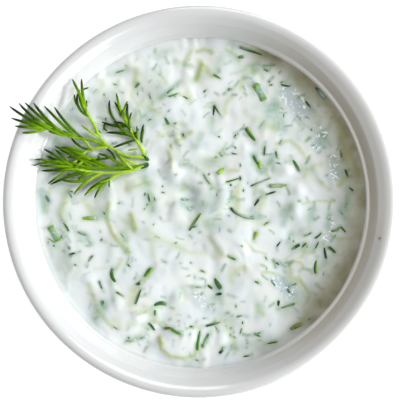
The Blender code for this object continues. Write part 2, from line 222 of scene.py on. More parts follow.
# Chopped herbs that show: x, y (mm), heading (deg), length, width (mm), bend (deg), by tone.
CHOPPED = {
    "dark": (
        (16.6, 46.5, -19, 8.8, 1.15, -8), (20.2, 42.5, -2, 6.2, 0.6, 22), (5.5, 38.7, -28, 2.4, 0.6, 0),
        (4.3, 27.4, -96, 5.1, 0.65, 0), (5.8, 28, -58, 4.1, 0.65, 4), (26.8, 36, -8, 3.1, 0.6, 24),
        (37.3, 33.6, -52, 4.5, 1.2, -8), (34.2, 29.5, -49, 4.2, 0.6, 10), (25.1, 18.5, -107, 1.6, 0.5, 0),
        (20.2, 16.4, -97, 4.1, 0.55, 6), (-15.5, 0.9, -84, 3.2, 0.8, 6), (-1.4, -6.2, -124, 6.2, 0.8, 6),
        (1.6, 7.6, 128, 5.4, 0.65, 14), (14, -3.6, -20, 9.6, 1.15, 62), (10.5, 6.7, 18, 4.7, 0.6, 6),
        (18.8, 6, 22, 6.3, 0.65, 0), (21.9, 2.6, 17, 3.2, 0.8, 0), (17.2, -0.9, 56, 3.8, 0.7, 0),
        (20.6, -6.8, 34, 1.7, 0.8, 0), (24.5, -12.9, 54, 2.2, 0.5, 0), (29.6, -14, 32, 2.8, 1, 0),
        (32.2, -13.6, 43, 1.8, 0.7, 0), (35.8, -14.2, 64, 3.5, 0.4, 0), (38.5, -15.2, -81, 4.9, 0.7, 4),
        (40.8, -15, -42, 2.8, 1, 10), (35.9, -19.6, -95, 5.1, 0.9, 26), (26.7, -32.2, 19, 5.4, 0.9, 0),
        (24.2, -31.4, 85, 1.8, 0.9, 0), (44.1, -8.7, -46, 2.4, 0.9, 0), (4.8, -37.6, 14, 5.5, 0.75, -6),
        (3.2, -26.2, -33, 1.8, 0.9, 0), (14.5, -47.5, 12, 2, 0.7, 0), (21.8, -43.5, 12, 4, 0.6, -10),
        (22.7, -25.1, -61, 1.8, 0.7, 0), (24, -19.2, -37, 1.3, 0.6, 0), (-41.6, -7.4, -56, 3.9, 0.65, -14),
        (-39.1, -16.1, 15, 2.4, 0.65, -30), (-34.1, -18.1, 54, 3.7, 0.7, 0),
        (-30.2, -26.2, -68, 3.8, 0.75, 16), (-18.9, -29.3, -110, 4.7, 0.75, 6),
        (-14.8, -38.5, -52, 2.8, 0.9, -10), (-17.6, 21.1, 83, 5.4, 0.65, 8), (45.4, 8.6, -70, 2.4, 0.8, 0),
        (46.6, 3.8, -40, 1.8, 0.8, 0), (5.8, -28.5, 13, 2, 0.9, 0), (-25.8, -38.9, -33, 1.6, 0.5, 0),
        (6.6, -46.1, 46, 1.5, 0.9, 0), (29, -25.6, 20, 1.6, 0.6, 0), (27.4, -27.6, -60, 1.2, 0.7, 0),
        (-19, -25.4, 10, 1.3, 1.2, 0), (-37.5, 13, -70, 2.6, 0.8, 0),
    ),
    "green": (
        (15.9, 20.7, -53, 4.9, 1.35, 0), (17.4, 12.7, -66, 3.1, 0.9, 8), (23.8, 14.6, -73, 2.6, 0.8, 0),
        (29.6, 11.6, -58, 5.3, 0.95, 8), (10, -17.3, -26, 2.6, 0.8, 0), (5.6, -25.2, -60, 3.8, 1.5, 12),
        (17.6, -24.9, -30, 1.4, 0.7, 0), (-36.6, -9.5, -16, 3.7, 1.1, 16),
        (-16.2, -22.3, -130, 4.3, 1.5, 0), (-12.3, -31.9, 11, 4.9, 1.2, -80),
        (-13.7, -34.2, -90, 1.6, 0.9, 0), (33.3, -10.1, 24, 2.3, 0.8, 30), (-0.2, -42.6, -97, 6.2, 1, 14),
        (1.9, -42.6, -111, 4.2, 0.9, -6), (-26.6, -22.7, -79, 4.6, 1.3, 70),
        (-29.8, -31.4, -70, 1.8, 1.3, 0), (-17.2, 14.6, 60, 1.6, 0.9, 0), (12.8, 44.8, 10, 1.8, 1.3, 0),
        (17.9, -41.1, -27, 2, 0.7, 0), (36.5, -10.5, 40, 2.6, 0.7, 40), (41.5, -8.6, 20, 3.2, 0.9, 60),
        (-10.2, 25.2, -60, 2.6, 0.9, 0), (-24.6, 27.5, -70, 2, 0.8, 0), (-7.2, -40, -30, 3.6, 0.9, 14),
        (-19.4, 36.3, 50, 1.8, 0.9, 0), (20.6, 40.8, -20, 1.4, 0.9, 0), (9.6, 34.8, 10, 1.4, 1.2, 0),
    ),
    "lime": (
        (6.6, 9.5, 42, 2.7, 1.5, 0), (24.4, 4.9, 2, 5.6, 1.2, 0), (17.1, -10.8, -112, 2.9, 1.2, 0),
        (-34.2, -5, 2, 4, 1.2, 0), (18.6, 11.2, -80, 2.2, 1.1, 0), (-15, -21, 50, 1.2, 1.4, 0),
    ),
    "teal": (
        (-3.5, 0.7, 0, 4.1, 0.8, 30), (-3.9, -1.7, -38, 2.7, 0.7, 0), (-0.7, -26.3, -1, 3.6, 0.9, 0),
        (-21.3, -42.9, 18, 3.2, 1, 0), (-17.6, -41.8, 14, 3, 1.2, 0), (-24.4, 40.8, 17, 3.3, 0.9, 0),
        (-15.1, 32, -74, 3.3, 0.6, 0), (-47.6, 2, -60, 4, 1.1, 0), (-39.8, 1.5, -70, 3.6, 0.8, 0),
        (-9, 34.6, 38, 4.4, 1.1, 0), (44, -4, -60, 3, 1, 0), (45.4, -0.6, 70, 2.8, 0.9, 0),
        (26.3, -24.6, -60, 2, 0.8, 0), (17.8, -40.6, 20, 2.6, 0.7, 0), (-23.8, -10.6, -55, 2.6, 0.8, 10),
        (15.2, -5, 20, 2.8, 0.7, 0), (27.6, -11.5, 60, 2.6, 1.2, 0), (-34.2, -12, -60, 2.4, 0.9, 0),
    ),
    "olive": (
        (29.5, -38.4, 27, 3.6, 1.3, 0), (-24.4, -28.6, -32, 2.8, 0.8, 0), (43.9, 14.5, -80, 2.8, 1, 0),
        (33.5, -36.2, 10, 1.6, 0.8, 0), (-9.5, -39, 0, 2.6, 0.9, 0),
    ),
}
TONES = tuple(CHOPPED)
LIME = TONES.index("lime")
TEAL = TONES.index("teal")
CRUMB_TONE_SHARES = (0.26, 0.2, 0.04, 0.46, 0.04)
CRUMB_GROUPS = 24
CRUMB_GROUP_SPREAD = 3.2
CRUMB_REACH = 0.985 * DIP_EDGE_RADIUS / MM
# A bit's height as a share of its width, how far it is sunk in half widths (teal bits, then the others'
# limits), and how thickly yogurt films it (the same).
BIT_FLATNESS = 0.55
TEAL_SUNK = 0.42
BIT_SUNK = (-0.1, 0.25)
TEAL_FILM = 0.45
BIT_FILM = (-0.35, 0.25)
# The stain round a bit of herb: its strength, and how far it reaches past the bit (mm).
HALO_STRENGTH = 0.5
HALO_MARGIN = 0.35
# Slices of chive whose ends stand out of the yogurt: x, y (mm), heading (deg), length (mm).
CHIVES = ((18.6, 33.8, -61, 5.6), (-45, -9.8, -60, 5.2))
CHIVE_RADIUS = 1.15 * MM
CHIVE_BORE_RADIUS = 0.8 * MM
CHIVE_FLATNESS = 0.75
CHIVE_DEPTH = 0.45 * MM
CHIVE_SAG = 0.35 * MM
CHIVE_MIDDLE_TINT = (0.3, 0.46, 0.34)
CHIVE_END_TINT = (0.16, 0.33, 0.04)

# The sprig, seen from above. A frond is a stalk, as a route (mm), and its leaves: each one's share
# along the stalk, heading (deg), length (mm), bend (deg) and how young and lit it is (0 to 1): the
# darker, lower leaves carry painted shade under the leaves over them.
STEM_END = (-14.9, 12.3)
STEM_DEPTH = 1.9 * MM
STEM_DIVE_LENGTH = 2.3 * MM
STALK_HALF_WIDTH = 0.35 * MM
# The middle of a thread runs this gap and this radius over what it lies on.
CLEARANCE = 0.25 * MM
STALK_RADIUS = 0.75 * MM
RIM_RADIUS = 57 * MM
RIM_CLEARANCE = 0.3 * MM
THREAD_FLATNESS = 0.85
THREAD_STOPS = 17
THREAD_SIDES = 7
FRONDS = {
    "cut_end": {
        "stalk": ((-17, 14), (-16, 13), (-16, 12), (-16.5, 11), (-18, 10.5)),
        "rise_from": 46,
        "young_and_lit": 0,
        "leaves": (),
    },
    "top": {
        "stalk": ((-16, 13), (-19, 14), (-22, 14), (-27, 16.5), (-30.5, 19.5), (-33, 24.5), (-35, 28)),
        "rise_from": 42,
        "young_and_lit": 0.85,
        "leaves": (
            (1, 106, 10, 12, 0.5), (1, 102, 9.5, -12, 0.4), (0.93, 163, 8.5, -98, 0.1),
            (0.95, 135, 8, -55, 0.2), (1, 118, 5.5, -30, 0.8), (0.64, 150, 7, -8, 1),
        ),
    },
    "rim": {
        "stalk": ((-28.5, 17), (-33, 19), (-39, 20), (-43.5, 21.5), (-47.5, 22.5)),
        "rise_from": 42,
        "young_and_lit": 0.6,
        "leaves": (
            (0.4, 143, 12.5, -22, 0.15), (0.5, 138, 13, -5, 0.2), (0.7, 145, 12.5, -22, 0.15),
            (0.75, 145, 13.5, -10, 0.15), (0.8, 158, 14, -28, 0.1), (0.9, 160, 14, -18, 0.1),
            (0.85, 169, 13, -8, 0.2), (0.95, 182, 9.5, -9, 0.3), (0.95, 205, 7.5, -24, 0.4),
            (0.6, 155, 9, -20, 0.35), (0.7, 168, 9, -16, 0.45), (0.55, 165, 5, 0, 0.1),
            (0.5, 150, 5.5, 15, 0.35), (0.75, 138, 7, 5, 0.3), (0.8, 150, 9, 16, 0.4), (0.4, 310, 5, -5, 1),
            (0.9, 140, 6.5, 14, 0.3), (0.85, 166, 6, 10, 0.5), (0.65, 148, 6, 30, 0.3),
            (0.95, 174, 6, 8, 0.35), (0.6, 176, 6.5, -14, 0.45),
        ),
    },
    "upper": {
        "stalk": ((-16, 12), (-18, 11), (-22.5, 10.5), (-28, 10.5), (-34, 10.5), (-38, 10.5), (-42, 11.5)),
        "rise_from": 50,
        "young_and_lit": 0.35,
        "leaves": (
            (0.95, 135, 9, 20, 0.15), (0.9, 128, 7.5, 12, 0.2), (1, 145, 6, 18, 0.05),
            (0.95, 158, 9.5, 20, 0.2), (0.85, 149, 13.5, 58, 0.5), (0.8, 172, 12.5, 10, 0.5),
            (0.75, 186, 13.5, -5, 0.15), (0.5, 158, 12, 8, 0.4), (0.75, 170, 8, 6, 0.3),
            (0.8, 187, 7.5, -5, 0.5), (0.3, 132, 9, 36, 0.3), (0.25, 135, 6.5, -25, 0.9),
            (0.65, 146, 12, 10, 0.3), (0.85, 150, 7, 5, 0.45), (0.55, 140, 14, 27, 0.5),
            (0.7, 160, 8, 12, 0.45), (0.6, 174, 9, 4, 0.3), (0.45, 150, 8, 20, 0.35),
        ),
    },
    "wide": {
        "stalk": ((-16, 11.5), (-18.5, 10.5), (-21.5, 9.5), (-25, 9), (-30, 9), (-35, 9.5), (-39, 10.5)),
        "rise_from": 50,
        "young_and_lit": 0.95,
        "leaves": (
            (0.8, 190, 12.5, 18, 0.15), (0.6, 214, 14.5, -52, 0.45), (0.6, 200, 11.5, 32, 0.8),
            (0.8, 205, 4.5, 35, 0.65), (0.2, 140, 7, -10, 0.95), (0.9, 178, 6.5, 5, 0.35),
            (0.7, 194, 6, 10, 0.5),
        ),
    },
    "cross": {
        "stalk": ((-28.5, 17), (-32.5, 16.5), (-35.5, 15.5), (-38.5, 12.5), (-42, 9.2)),
        "rise_from": 50,
        "young_and_lit": 0.85,
        "leaves": (
            (0.45, 158, 7.5, 20, 0.4), (0.35, 170, 7, -48, 0.1), (0.5, 172, 9, -14, 0.45),
            (1, 218, 6, -2, 0.25),
        ),
    },
    "low": {
        "stalk": ((-21, 9.5), (-25, 8.5), (-28.5, 6.5), (-32, 4.5)),
        "rise_from": 50,
        "young_and_lit": 1,
        "leaves": (
            (1, 208, 4.5, 15, 0.7), (0.5, 194, 10, 34, 0.15), (0.65, 218, 7, 30, 0.35),
            (0.65, 196, 4, 0, 0.6), (0.6, 268, 2.5, 0, 0.5),
        ),
    },
    "inner": {
        "stalk": ((-16, 13), (-17, 14.5), (-18, 16.5), (-20, 20), (-22, 23.5), (-24, 27)),
        "rise_from": 46,
        "young_and_lit": 1,
        "leaves": (
            (1, 108, 7, -6, 0.6), (1, 72, 4.5, -8, 0.4), (0.95, 118, 5.5, 4, 0.1), (0.75, 112, 5, 10, 0.9),
            (0.65, 114, 8.5, -34, 0.1), (0.7, 100, 5, -34, 0.3), (0.75, 104, 5.5, 16, 0.7),
            (0.6, 118, 7, 65, 0), (0.75, 188, 8.5, -34, 0), (0.5, 158, 9, 26, 0), (0.5, 160, 8.5, -40, 0.2),
            (0.55, 42, 2.5, 20, 0), (0.45, 198, 7.5, 4, 0), (0.4, 112, 3.5, 0, 0.1),
        ),
    },
}
# Leaves that part from another leaf, or lie loose: x, y (mm), then heading, length, bend and how
# young and lit, as above.
LOOSE_LEAVES = (
    (-36, 34.5, 20, 2, 0, 0.1), (-38, 30, 108, 3, -20, 0.4), (-35, 29.5, 88, 2, 0, 0.4),
    (-26, 25, 132, 7, -52, 0.05), (-28.5, 22, 165, 3, -120, 0), (-18, 18.5, 92, 5.5, -18, 0),
    (-22, 16, 5, 3, 0, 1), (-19, 18.5, 95, 5, 0, 0.5), (-28, 13.5, 185, 6, 0, 0.05),
    (-26, 12.5, 100, 5, 50, 0.05), (-31, 13, 165, 10, 22, 0.4), (-35, 13.5, 222, 5.5, -10, 0.75),
    (-19, 11.5, 165, 7, -20, 0.95), (-46, 12.5, 160, 4.5, 35, 0.15),
)
LOOSE_RISE_FROM = 46

# The studio, in metres.
LIGHT_DISTANCE = 0.9
FLOOR_HALF_SIZE = 2.5
FLOOR_DROP = 0.2 * MM
CAMERA_TARGET = Vector((0.5 * MM, 0, BOWL_HEIGHT))
ROOM_COLOUR = (1.0, 0.985, 0.955, 1)
# Soft lights round the bowl: azimuth from +X, height over the horizon, width (m), share of the key's
# strength and colour.
LIGHTS = {
    "window": (math.radians(3), math.radians(17), 0.30, 1.0, (0.96, 0.985, 1.0)),
    "window_near": (math.radians(-45), math.radians(35), 0.5, 0.45, (0.96, 0.985, 1.0)),
    "window_far": (math.radians(80), math.radians(45), 0.5, 0.45, (0.97, 0.985, 1.0)),
    "room": (math.radians(200), math.radians(38), 0.9, 0.19, (1.0, 0.985, 0.95)),
}


# ---- Settings ----


def colour_setting(name, description, default):
    return FloatVectorProperty(name=name, description=description, default=default, size=3, subtype="COLOR")


def length_setting(name, description, default, least=0):
    return FloatProperty(name=name, description=description, default=default, min=least, unit="LENGTH")


def angle_setting(name, description, default):
    return FloatProperty(name=name, description=description, default=default, subtype="ANGLE")


class BowlSettings(bpy.types.PropertyGroup):
    """Mesh fineness and colours of the glazed bowl."""

    steps: IntProperty(name="Steps", description="Steps round the bowl", default=240, min=32)
    waver: length_setting("Waver", "How far the hand-finished wall strays from a true circle", 0.06 * MM)
    glaze: colour_setting("Glaze", "Colour of the glaze", (0.77, 0.775, 0.78))
    # The thin glaze's warmer, darker tint also serves as painted shade towards +X.
    thin_glaze_and_shade: colour_setting("Thin Glaze", "Warmer tint where the glaze lies thin", (0.665, 0.655, 0.63))
    # The outer wall's darker colour is painted shade.
    outside: colour_setting("Outside", "Colour of the glaze on the outer wall", (0.60, 0.60, 0.595))
    # Painted shade on the inner wall over the dip, towards +X.
    wall_shade_tint: colour_setting("Smear", "Thin juice on the wall over the dip", (0.55, 0.50, 0.435))
    bisque: colour_setting("Bare Foot", "Colour of the unglazed foot ring", (0.62, 0.58, 0.52))


class DipSettings(bpy.types.PropertyGroup):
    """Mesh fineness, relief and colours of the yogurt."""

    rows: IntProperty(name="Rows", description="Rows of the surface's grid", default=285, min=40)
    crease: length_setting("Creases", "Depth of the soft creases", 0.17 * MM)
    crease_length: length_setting("Crease Length", "Distance between creases", 9.5 * MM, least=MM)
    ripple: length_setting("Ripples", "Height of the small lumps", 0.022 * MM)
    yogurt: colour_setting("Yogurt", "Colour of the yogurt", (0.80, 0.845, 0.85))
    warm_yogurt: colour_setting("Warm Yogurt", "Its warmer parts", (0.83, 0.85, 0.815))
    herb_stain: colour_setting("Herb Stain", "Tint of herbs under the surface", (0.20, 0.36, 0.28))
    cucumber: colour_setting("Cucumber", "Tint of cucumber skin", (0.44, 0.52, 0.16))
    fresh_stain: colour_setting("Fresh Stain", "Tint of the greener herbs", (0.22, 0.40, 0.17))
    # Painted shadow of the +X rim on the yogurt by the wall.
    painted_shadow: colour_setting("Juice", "Tint of the thin juice by the wall", (0.23, 0.205, 0.095))
    whey: colour_setting("Whey", "Tint of the watery patches", (0.50, 0.61, 0.65))


class HerbSettings(bpy.types.PropertyGroup):
    """Amounts and colours of the chopped herbs."""

    crumbs: IntProperty(name="Crumbs", description="Small scattered bits of herb", default=165, min=0)
    seed: IntProperty(name="Seed", description="Start of the random scatter", default=11, min=0)
    dark: colour_setting("Dark", "Dark dill", (0.005, 0.040, 0.014))
    green: colour_setting("Green", "Fresh green", (0.045, 0.165, 0.030))
    lime: colour_setting("Lime", "Cut, yellow-green faces", (0.24, 0.38, 0.03))
    teal: colour_setting("Teal", "Herbs under a film of yogurt", (0.05, 0.19, 0.13))
    olive: colour_setting("Olive", "Older bits", (0.19, 0.20, 0.06))


class SprigSettings(bpy.types.PropertyGroup):
    """Thickness and colours of the dill sprig."""

    fullness: FloatProperty(
        name="Fullness", description="Thickness of its stalks and leaves, as a share", default=1.5, min=0.1
    )
    seed: IntProperty(name="Seed", description="Start of the random heights", default=5, min=0)
    # The shaded leaf colour is painted shade for the darker leaves that lie under others.
    shaded: colour_setting("Shaded Leaf", "Colour of the oldest leaves", (0.034, 0.100, 0.001))
    leaf: colour_setting("Leaf", "Colour of the leaves", (0.180, 0.365, 0.004))
    stalk: colour_setting("Stalk", "Colour of the stalks", (0.44, 0.66, 0.07))
    tip: colour_setting("Tip", "Colour of the leaf tips", (0.008, 0.028, 0.001))


class StudioSettings(bpy.types.PropertyGroup):
    """Lights, floor and camera."""

    key_energy: FloatProperty(
        name="Window", description="Strength of the window's main light", default=8.2, min=0, unit="POWER"
    )
    fill: FloatProperty(name="Fill", description="Strength of the room's light", default=0.13, min=0)
    floor: colour_setting("Floor", "Colour of the floor", (0.68, 0.68, 0.68))
    floor_glow: FloatProperty(
        name="Floor Glow", description="Light that the floor gives itself", default=0.6, min=0
    )
    distance: length_setting("Distance", "Camera to the middle of the rim", 0.56, least=0.05)
    lens: FloatProperty(name="Lens", description="Focal length in millimetres", default=165.6, min=10)
    lean_right: angle_setting("Lean Right", "How far the camera leans to +X", math.radians(2.7))
    lean_near: angle_setting("Lean Near", "How far the camera leans to -Y", math.radians(3.8))


# ---- Shader nodes ----


class Wire:
    """A number between shader nodes. Arithmetic on it adds Math nodes."""

    def __init__(self, finish, socket):
        self.finish = finish
        self.socket = socket

    def math(self, operation, first, second):
        return self.finish.node("ShaderNodeMath", {"operation": operation}, {0: first, 1: second})

    def __add__(self, other):
        return self.math("ADD", self, other)

    def __sub__(self, other):
        return self.math("SUBTRACT", self, other)

    def __rsub__(self, other):
        return self.math("SUBTRACT", other, self)

    def __mul__(self, other):
        return self.math("MULTIPLY", self, other)

    __radd__ = __add__
    __rmul__ = __mul__


class Finish:
    """A material with one Principled shader, whose constants are given by socket name."""

    def __init__(self, name, constants):
        self.material = bpy.data.materials.new(name)
        self.material.use_nodes = True
        self.tree = self.material.node_tree
        self.shader = self.tree.nodes["Principled BSDF"]
        for socket, value in constants.items():
            self.shader.inputs[socket].default_value = value
        self.place = self.node("ShaderNodeTexCoord", output="Object")

    def connect(self, socket, value):
        if isinstance(value, Wire):
            self.tree.links.new(value.socket, socket)
        elif socket.type == "RGBA":
            socket.default_value = (*value, 1)
        else:
            socket.default_value = value

    def node(self, kind, settings=None, inputs=None, output=0):
        """A node of any kind: its settings are set first, then its sockets' values or links."""
        made = self.tree.nodes.new(kind)
        for name, value in (settings or {}).items():
            setattr(made, name, value)
        for name, value in (inputs or {}).items():
            self.connect(made.inputs[name], value)
        return Wire(self, made.outputs[output])

    def drive(self, **sockets):
        for name, wire in sockets.items():
            self.connect(self.shader.inputs[name.replace("_", " ")], wire)

    def attribute(self, name, output="Fac"):
        return self.node("ShaderNodeAttribute", {"attribute_name": name}, output=output)

    def noise(self, size, detail=2.0, roughness=0.5, distortion=0.0):
        """Noise from 0 to 1 whose lumps are about size metres across."""
        inputs = {
            "Vector": self.place,
            "Scale": 1 / size,
            "Detail": detail,
            "Roughness": roughness,
            "Distortion": distortion,
        }
        return self.node("ShaderNodeTexNoise", None, inputs)

    def ramp(self, value, low, high):
        """0 below low, 1 above high, and smooth between."""
        inputs = {"Value": value, "From Min": low, "From Max": high, "To Min": 0.0, "To Max": 1.0}
        return self.node("ShaderNodeMapRange", {"interpolation_type": "SMOOTHSTEP", "clamp": True}, inputs)

    def band(self, value, start, full, fade, end):
        """0 before start, 1 from full to fade, and 0 after end."""
        return self.ramp(value, start, full) * (1 - self.ramp(value, fade, end))

    def mix(self, share, first, second):
        return self.node("ShaderNodeMix", {"data_type": "RGBA"}, {0: share, 6: first, 7: second}, output=2)

    def shade(self, colour, amount):
        """The colour times a number."""
        return self.node("ShaderNodeVectorMath", {"operation": "SCALE"}, {0: colour, "Scale": amount})

    def distance(self, point):
        inputs = {0: self.place, 1: point}
        return self.node("ShaderNodeVectorMath", {"operation": "DISTANCE"}, inputs, output="Value")

    def distance_from_axis(self):
        """Distance from the object's own Z axis."""
        flat = self.node("ShaderNodeVectorMath", {"operation": "MULTIPLY"}, {0: self.place, 1: (1, 1, 0)})
        return self.node("ShaderNodeVectorMath", {"operation": "LENGTH"}, {0: flat}, output="Value")

    def axis(self, name):
        return self.node("ShaderNodeSeparateXYZ", None, {0: self.place}, output=name)

    def bump(self, height, distance):
        return self.node("ShaderNodeBump", None, {"Distance": distance, "Height": height})


# ---- Surfaces ----


def solid(name, points, quads, triangles, attributes=None):
    """A smooth-shaded object from arrays of points and faces, with its attributes by name."""
    mesh = bpy.data.meshes.new(name)
    loops = np.concatenate([quads.ravel(), triangles.ravel()]).astype(np.int32)
    starts = np.concatenate([np.arange(len(quads)) * 4, len(quads) * 4 + np.arange(len(triangles)) * 3])
    mesh.vertices.add(len(points))
    mesh.vertices.foreach_set("co", points.astype(np.float32).ravel())
    mesh.loops.add(len(loops))
    mesh.loops.foreach_set("vertex_index", loops)
    mesh.polygons.add(len(starts))
    mesh.polygons.foreach_set("loop_start", starts.astype(np.int32))
    mesh.update(calc_edges=True)
    mesh.validate()
    for key, values in (attributes or {}).items():
        wide = values.ndim == 2
        layer = mesh.attributes.new(key, "FLOAT_COLOR" if wide else "FLOAT", "POINT")
        layer.data.foreach_set("color" if wide else "value", values.astype(np.float32).ravel())
    mesh.shade_smooth()
    made = bpy.data.objects.new(name, mesh)
    bpy.context.scene.collection.objects.link(made)
    return made


def finished(piece, finish, slot, *nodes):
    """Gives the piece its material and its body, and hides the frame's nodes that it stands for. The
    slot is not used.
    """
    piece.data.materials.append(finish.material)
    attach(piece, "root")
    if nodes:
        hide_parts(*nodes)


def circle(steps):
    """Angles evenly round a circle."""
    return np.linspace(0, 2 * np.pi, steps, endpoint=False)


def rings_about_z(radius, height, angle):
    """Points of level rings: a row of points, one at each angle, for every radius and height."""
    return np.stack([radius * np.cos(angle), radius * np.sin(angle), height + 0 * angle], axis=-1)


def run_lengths(corners):
    """Length along straight lines between corners, at each corner."""
    return np.r_[0, np.cumsum(np.linalg.norm(np.diff(corners, axis=0), axis=1))]


def random_spots(draw, reach, count):
    """Random points spread evenly over a disc whose radius is the reach."""
    radius = reach * np.sqrt(draw.uniform(0, 1, count))
    angle = draw.uniform(0, 2 * np.pi, count)
    return np.column_stack([radius * np.cos(angle), radius * np.sin(angle)])


def bezier(curve, count):
    """Count points along a cubic curve given as start, two pulls and end, in millimetres."""
    t = np.linspace(0, 1, count)[:, None]
    back = 1 - t
    start, first, second, end = (np.array(point, float) for point in curve)
    return MM * (back**3 * start + 3 * back**2 * t * first + 3 * back * t**2 * second + t**3 * end)


def rounded(corners, spacing, radius):
    """Straight lines between corners in millimetres, sampled evenly and softened by a running mean over
    the radius to either side."""
    corners = np.array(corners, float) * MM
    run = run_lengths(corners)
    stops = np.linspace(0, run[-1], int(run[-1] / spacing) + 1)
    reach = np.linspace(-radius, radius, 9)
    spread = np.minimum(radius, np.minimum(stops, run[-1] - stops)) / radius
    around = stops[:, None] + reach * spread[:, None]
    return np.column_stack([np.interp(around, run, side).mean(1) for side in corners.T])


def strips(rings):
    """Quads between neighbouring rings of point numbers, every ring closed on itself."""
    turned = np.roll(rings, -1, axis=1)
    return np.stack([rings[:-1], rings[1:], turned[1:], turned[:-1]], axis=-1).reshape(-1, 4)


def fan(ring, centre):
    """Triangles that close a ring of point numbers with a point: the point, a ring point and the next."""
    return np.stack([np.full(len(ring), centre), ring, np.roll(ring, -1)], axis=-1)


def lathe(profile, steps):
    """A closed solid of revolution: every (radius, height) of the profile turned about Z, with its ends
    closed by fans to a point on the axis. The profile runs up the inside and down the outside."""
    rings = rings_about_z(profile[:, :1], profile[:, 1:], circle(steps))
    count = len(profile) * steps
    index = np.arange(count).reshape(len(profile), steps)
    ends = np.array([[0, 0, profile[0, 1]], [0, 0, profile[-1, 1]]])
    fans = np.vstack([fan(index[0], count), fan(index[-1][::-1], count + 1)])
    return np.vstack([rings.reshape(-1, 3), ends]), strips(index), fans


def waves(x, y, length, seed, count=22):
    """A smooth random field of about unit size: a sum of cosines, each with a random heading and phase
    and a wavelength near the given length."""
    draw = np.random.default_rng(seed)
    heading = draw.uniform(0, 2 * np.pi, count)
    pace = 2 * np.pi / (length * draw.uniform(0.7, 1.45, count))
    phase = draw.uniform(0, 2 * np.pi, count)
    total = np.zeros_like(x)
    for h, k, p in zip(heading, pace, phase):
        total += np.cos(k * (x * np.cos(h) + y * np.sin(h)) + p)
    return total / math.sqrt(count / 2)


def away_from(x, y, route):
    """Distance in metres from each point to a route of straight runs given in millimetres."""
    corners = np.array(route, float) * MM
    nearest = np.full(x.shape, np.inf)
    for start, end in zip(corners[:-1], corners[1:]):
        run = end - start
        share = np.clip(((x - start[0]) * run[0] + (y - start[1]) * run[1]) / (run @ run), 0, 1)
        gap = np.hypot(x - start[0] - share * run[0], y - start[1] - share * run[1])
        nearest = np.minimum(nearest, gap)
    return nearest


def broad_relief(x, y):
    """Height over the dip's level: sine swells, round mounds that fall off as a bell, and a small rise
    where the yogurt wets the wall."""
    height = np.zeros_like(x)
    for length, rise, heading, phase in SWELLS:
        across = (x * np.cos(heading) + y * np.sin(heading)) / (length * MM)
        height += rise * MM * np.sin(2 * np.pi * across + phase)
    for mound_x, mound_y, radius, rise in MOUNDS:
        away = ((x - mound_x * MM) ** 2 + (y - mound_y * MM) ** 2) / (radius * MM) ** 2
        height += rise * MM * np.exp(-MOUND_FALL * away)
    to_wall = np.clip(DIP_EDGE_RADIUS - np.hypot(x, y), 0, None)
    return height + EDGE_RISE * np.exp(-((to_wall / EDGE_RISE_WIDTH) ** 2))


def scattered(seed, count, strengths, half_widths, lengths, bend):
    """Marks spread over the dip, each a short arc as strength, half width (mm) and route (mm). Every
    number is drawn between its two limits. They are stronger towards +X: where they tint the yogurt this
    is painted shade, and where they raise it their ridges are higher."""
    draw = np.random.default_rng(seed)
    middles = random_spots(draw, 0.97 * DIP_EDGE_RADIUS, count)
    headings = draw.uniform(0, 2 * np.pi, count)
    lengths = draw.uniform(*lengths, count) * MM
    routes = arcs(middles, headings, lengths, draw.uniform(-bend, bend, count), 5)
    # Stronger towards +X, which darkens the tinted yogurt there as painted shade.
    strength = draw.uniform(*strengths, count) * (1 + 0.4 * middles[:, 0] / DIP_EDGE_RADIUS)
    return list(zip(strength, draw.uniform(*half_widths, count), routes / MM))


def mark_shares(x, y, marks):
    """For each mark, the points near it and how strongly it covers them: a bell over the distance from
    its route, in half widths."""
    for strength, half_width, route in marks:
        corners = np.array(route, float) * MM
        reach = MARK_REACH * half_width * MM
        low, high = corners.min(axis=0) - reach, corners.max(axis=0) + reach
        near = (x > low[0]) & (x < high[0]) & (y > low[1]) & (y < high[1])
        gap = away_from(x[near], y[near], route) / (half_width * MM)
        yield near, strength * np.exp(-(gap**2))


def patches(x, y, marks):
    """How strongly each point is covered by soft-edged marks, from 0 to 1."""
    bare = np.ones_like(x)
    for near, share in mark_shares(x, y, marks):
        bare[near] *= 1 - share
    return 1 - bare


def ridges(x, y, marks):
    """The marks' strengths added up."""
    total = np.zeros_like(x)
    for near, share in mark_shares(x, y, marks):
        total[near] += share
    return total


def dip_surface(x, y, dip):
    """Height of the yogurt: the broad relief, soft lumps with a few creases, small ripples, and a low
    ridge over each shred of cucumber, hidden ones too. The lumps are a smooth field and its size, bent by
    a slower one."""
    bend_x = CREASE_BEND * waves(x, y, CREASE_BEND_LENGTH, 3)
    bend_y = CREASE_BEND * waves(x, y, CREASE_BEND_LENGTH, 4)
    field = waves(x + bend_x, y + bend_y, dip.crease_length, 5)
    lumps = 0.45 * field + 0.5 * np.sqrt(field**2 + 0.3)
    ripples = waves(x + bend_y, y + bend_x, RIPPLE_LENGTH, 6)
    calm = 1 - 0.75 * patches(x, y, WHEY)
    hidden = ridges(x, y, scattered(*HIDDEN_SHREDS))
    height = DIP_LEVEL + broad_relief(x, y) + HIDDEN_RIDGE * hidden * calm
    height += calm * (dip.crease * lumps + dip.ripple * ripples) + CUCUMBER_RIDGE * ridges(x, y, CUCUMBER)
    for slice_x, slice_y, radius, rise in SLICES:
        gap = np.hypot(x - slice_x * MM, y - slice_y * MM) / (radius * MM)
        height += rise * MM * 0.5 * (1 - np.tanh((gap - 1) * 6))
    return height


def disc_grid(rows):
    """A square grid bent into a disc of radius 1: every square about the middle is drawn in to a circle."""
    side = np.linspace(-1, 1, rows)
    u, v = np.meshgrid(side, side)
    reach = np.maximum(np.abs(u), np.abs(v))
    scale = reach / np.maximum(np.hypot(u, v), 1e-9)
    return u * scale, v * scale


def rim_order(rows):
    """Indices of a square grid's outer points, counter-clockwise."""
    index = np.arange(rows * rows).reshape(rows, rows)
    return np.concatenate([index[0, :-1], index[:-1, -1], index[-1, :0:-1], index[:0:-1, 0]])


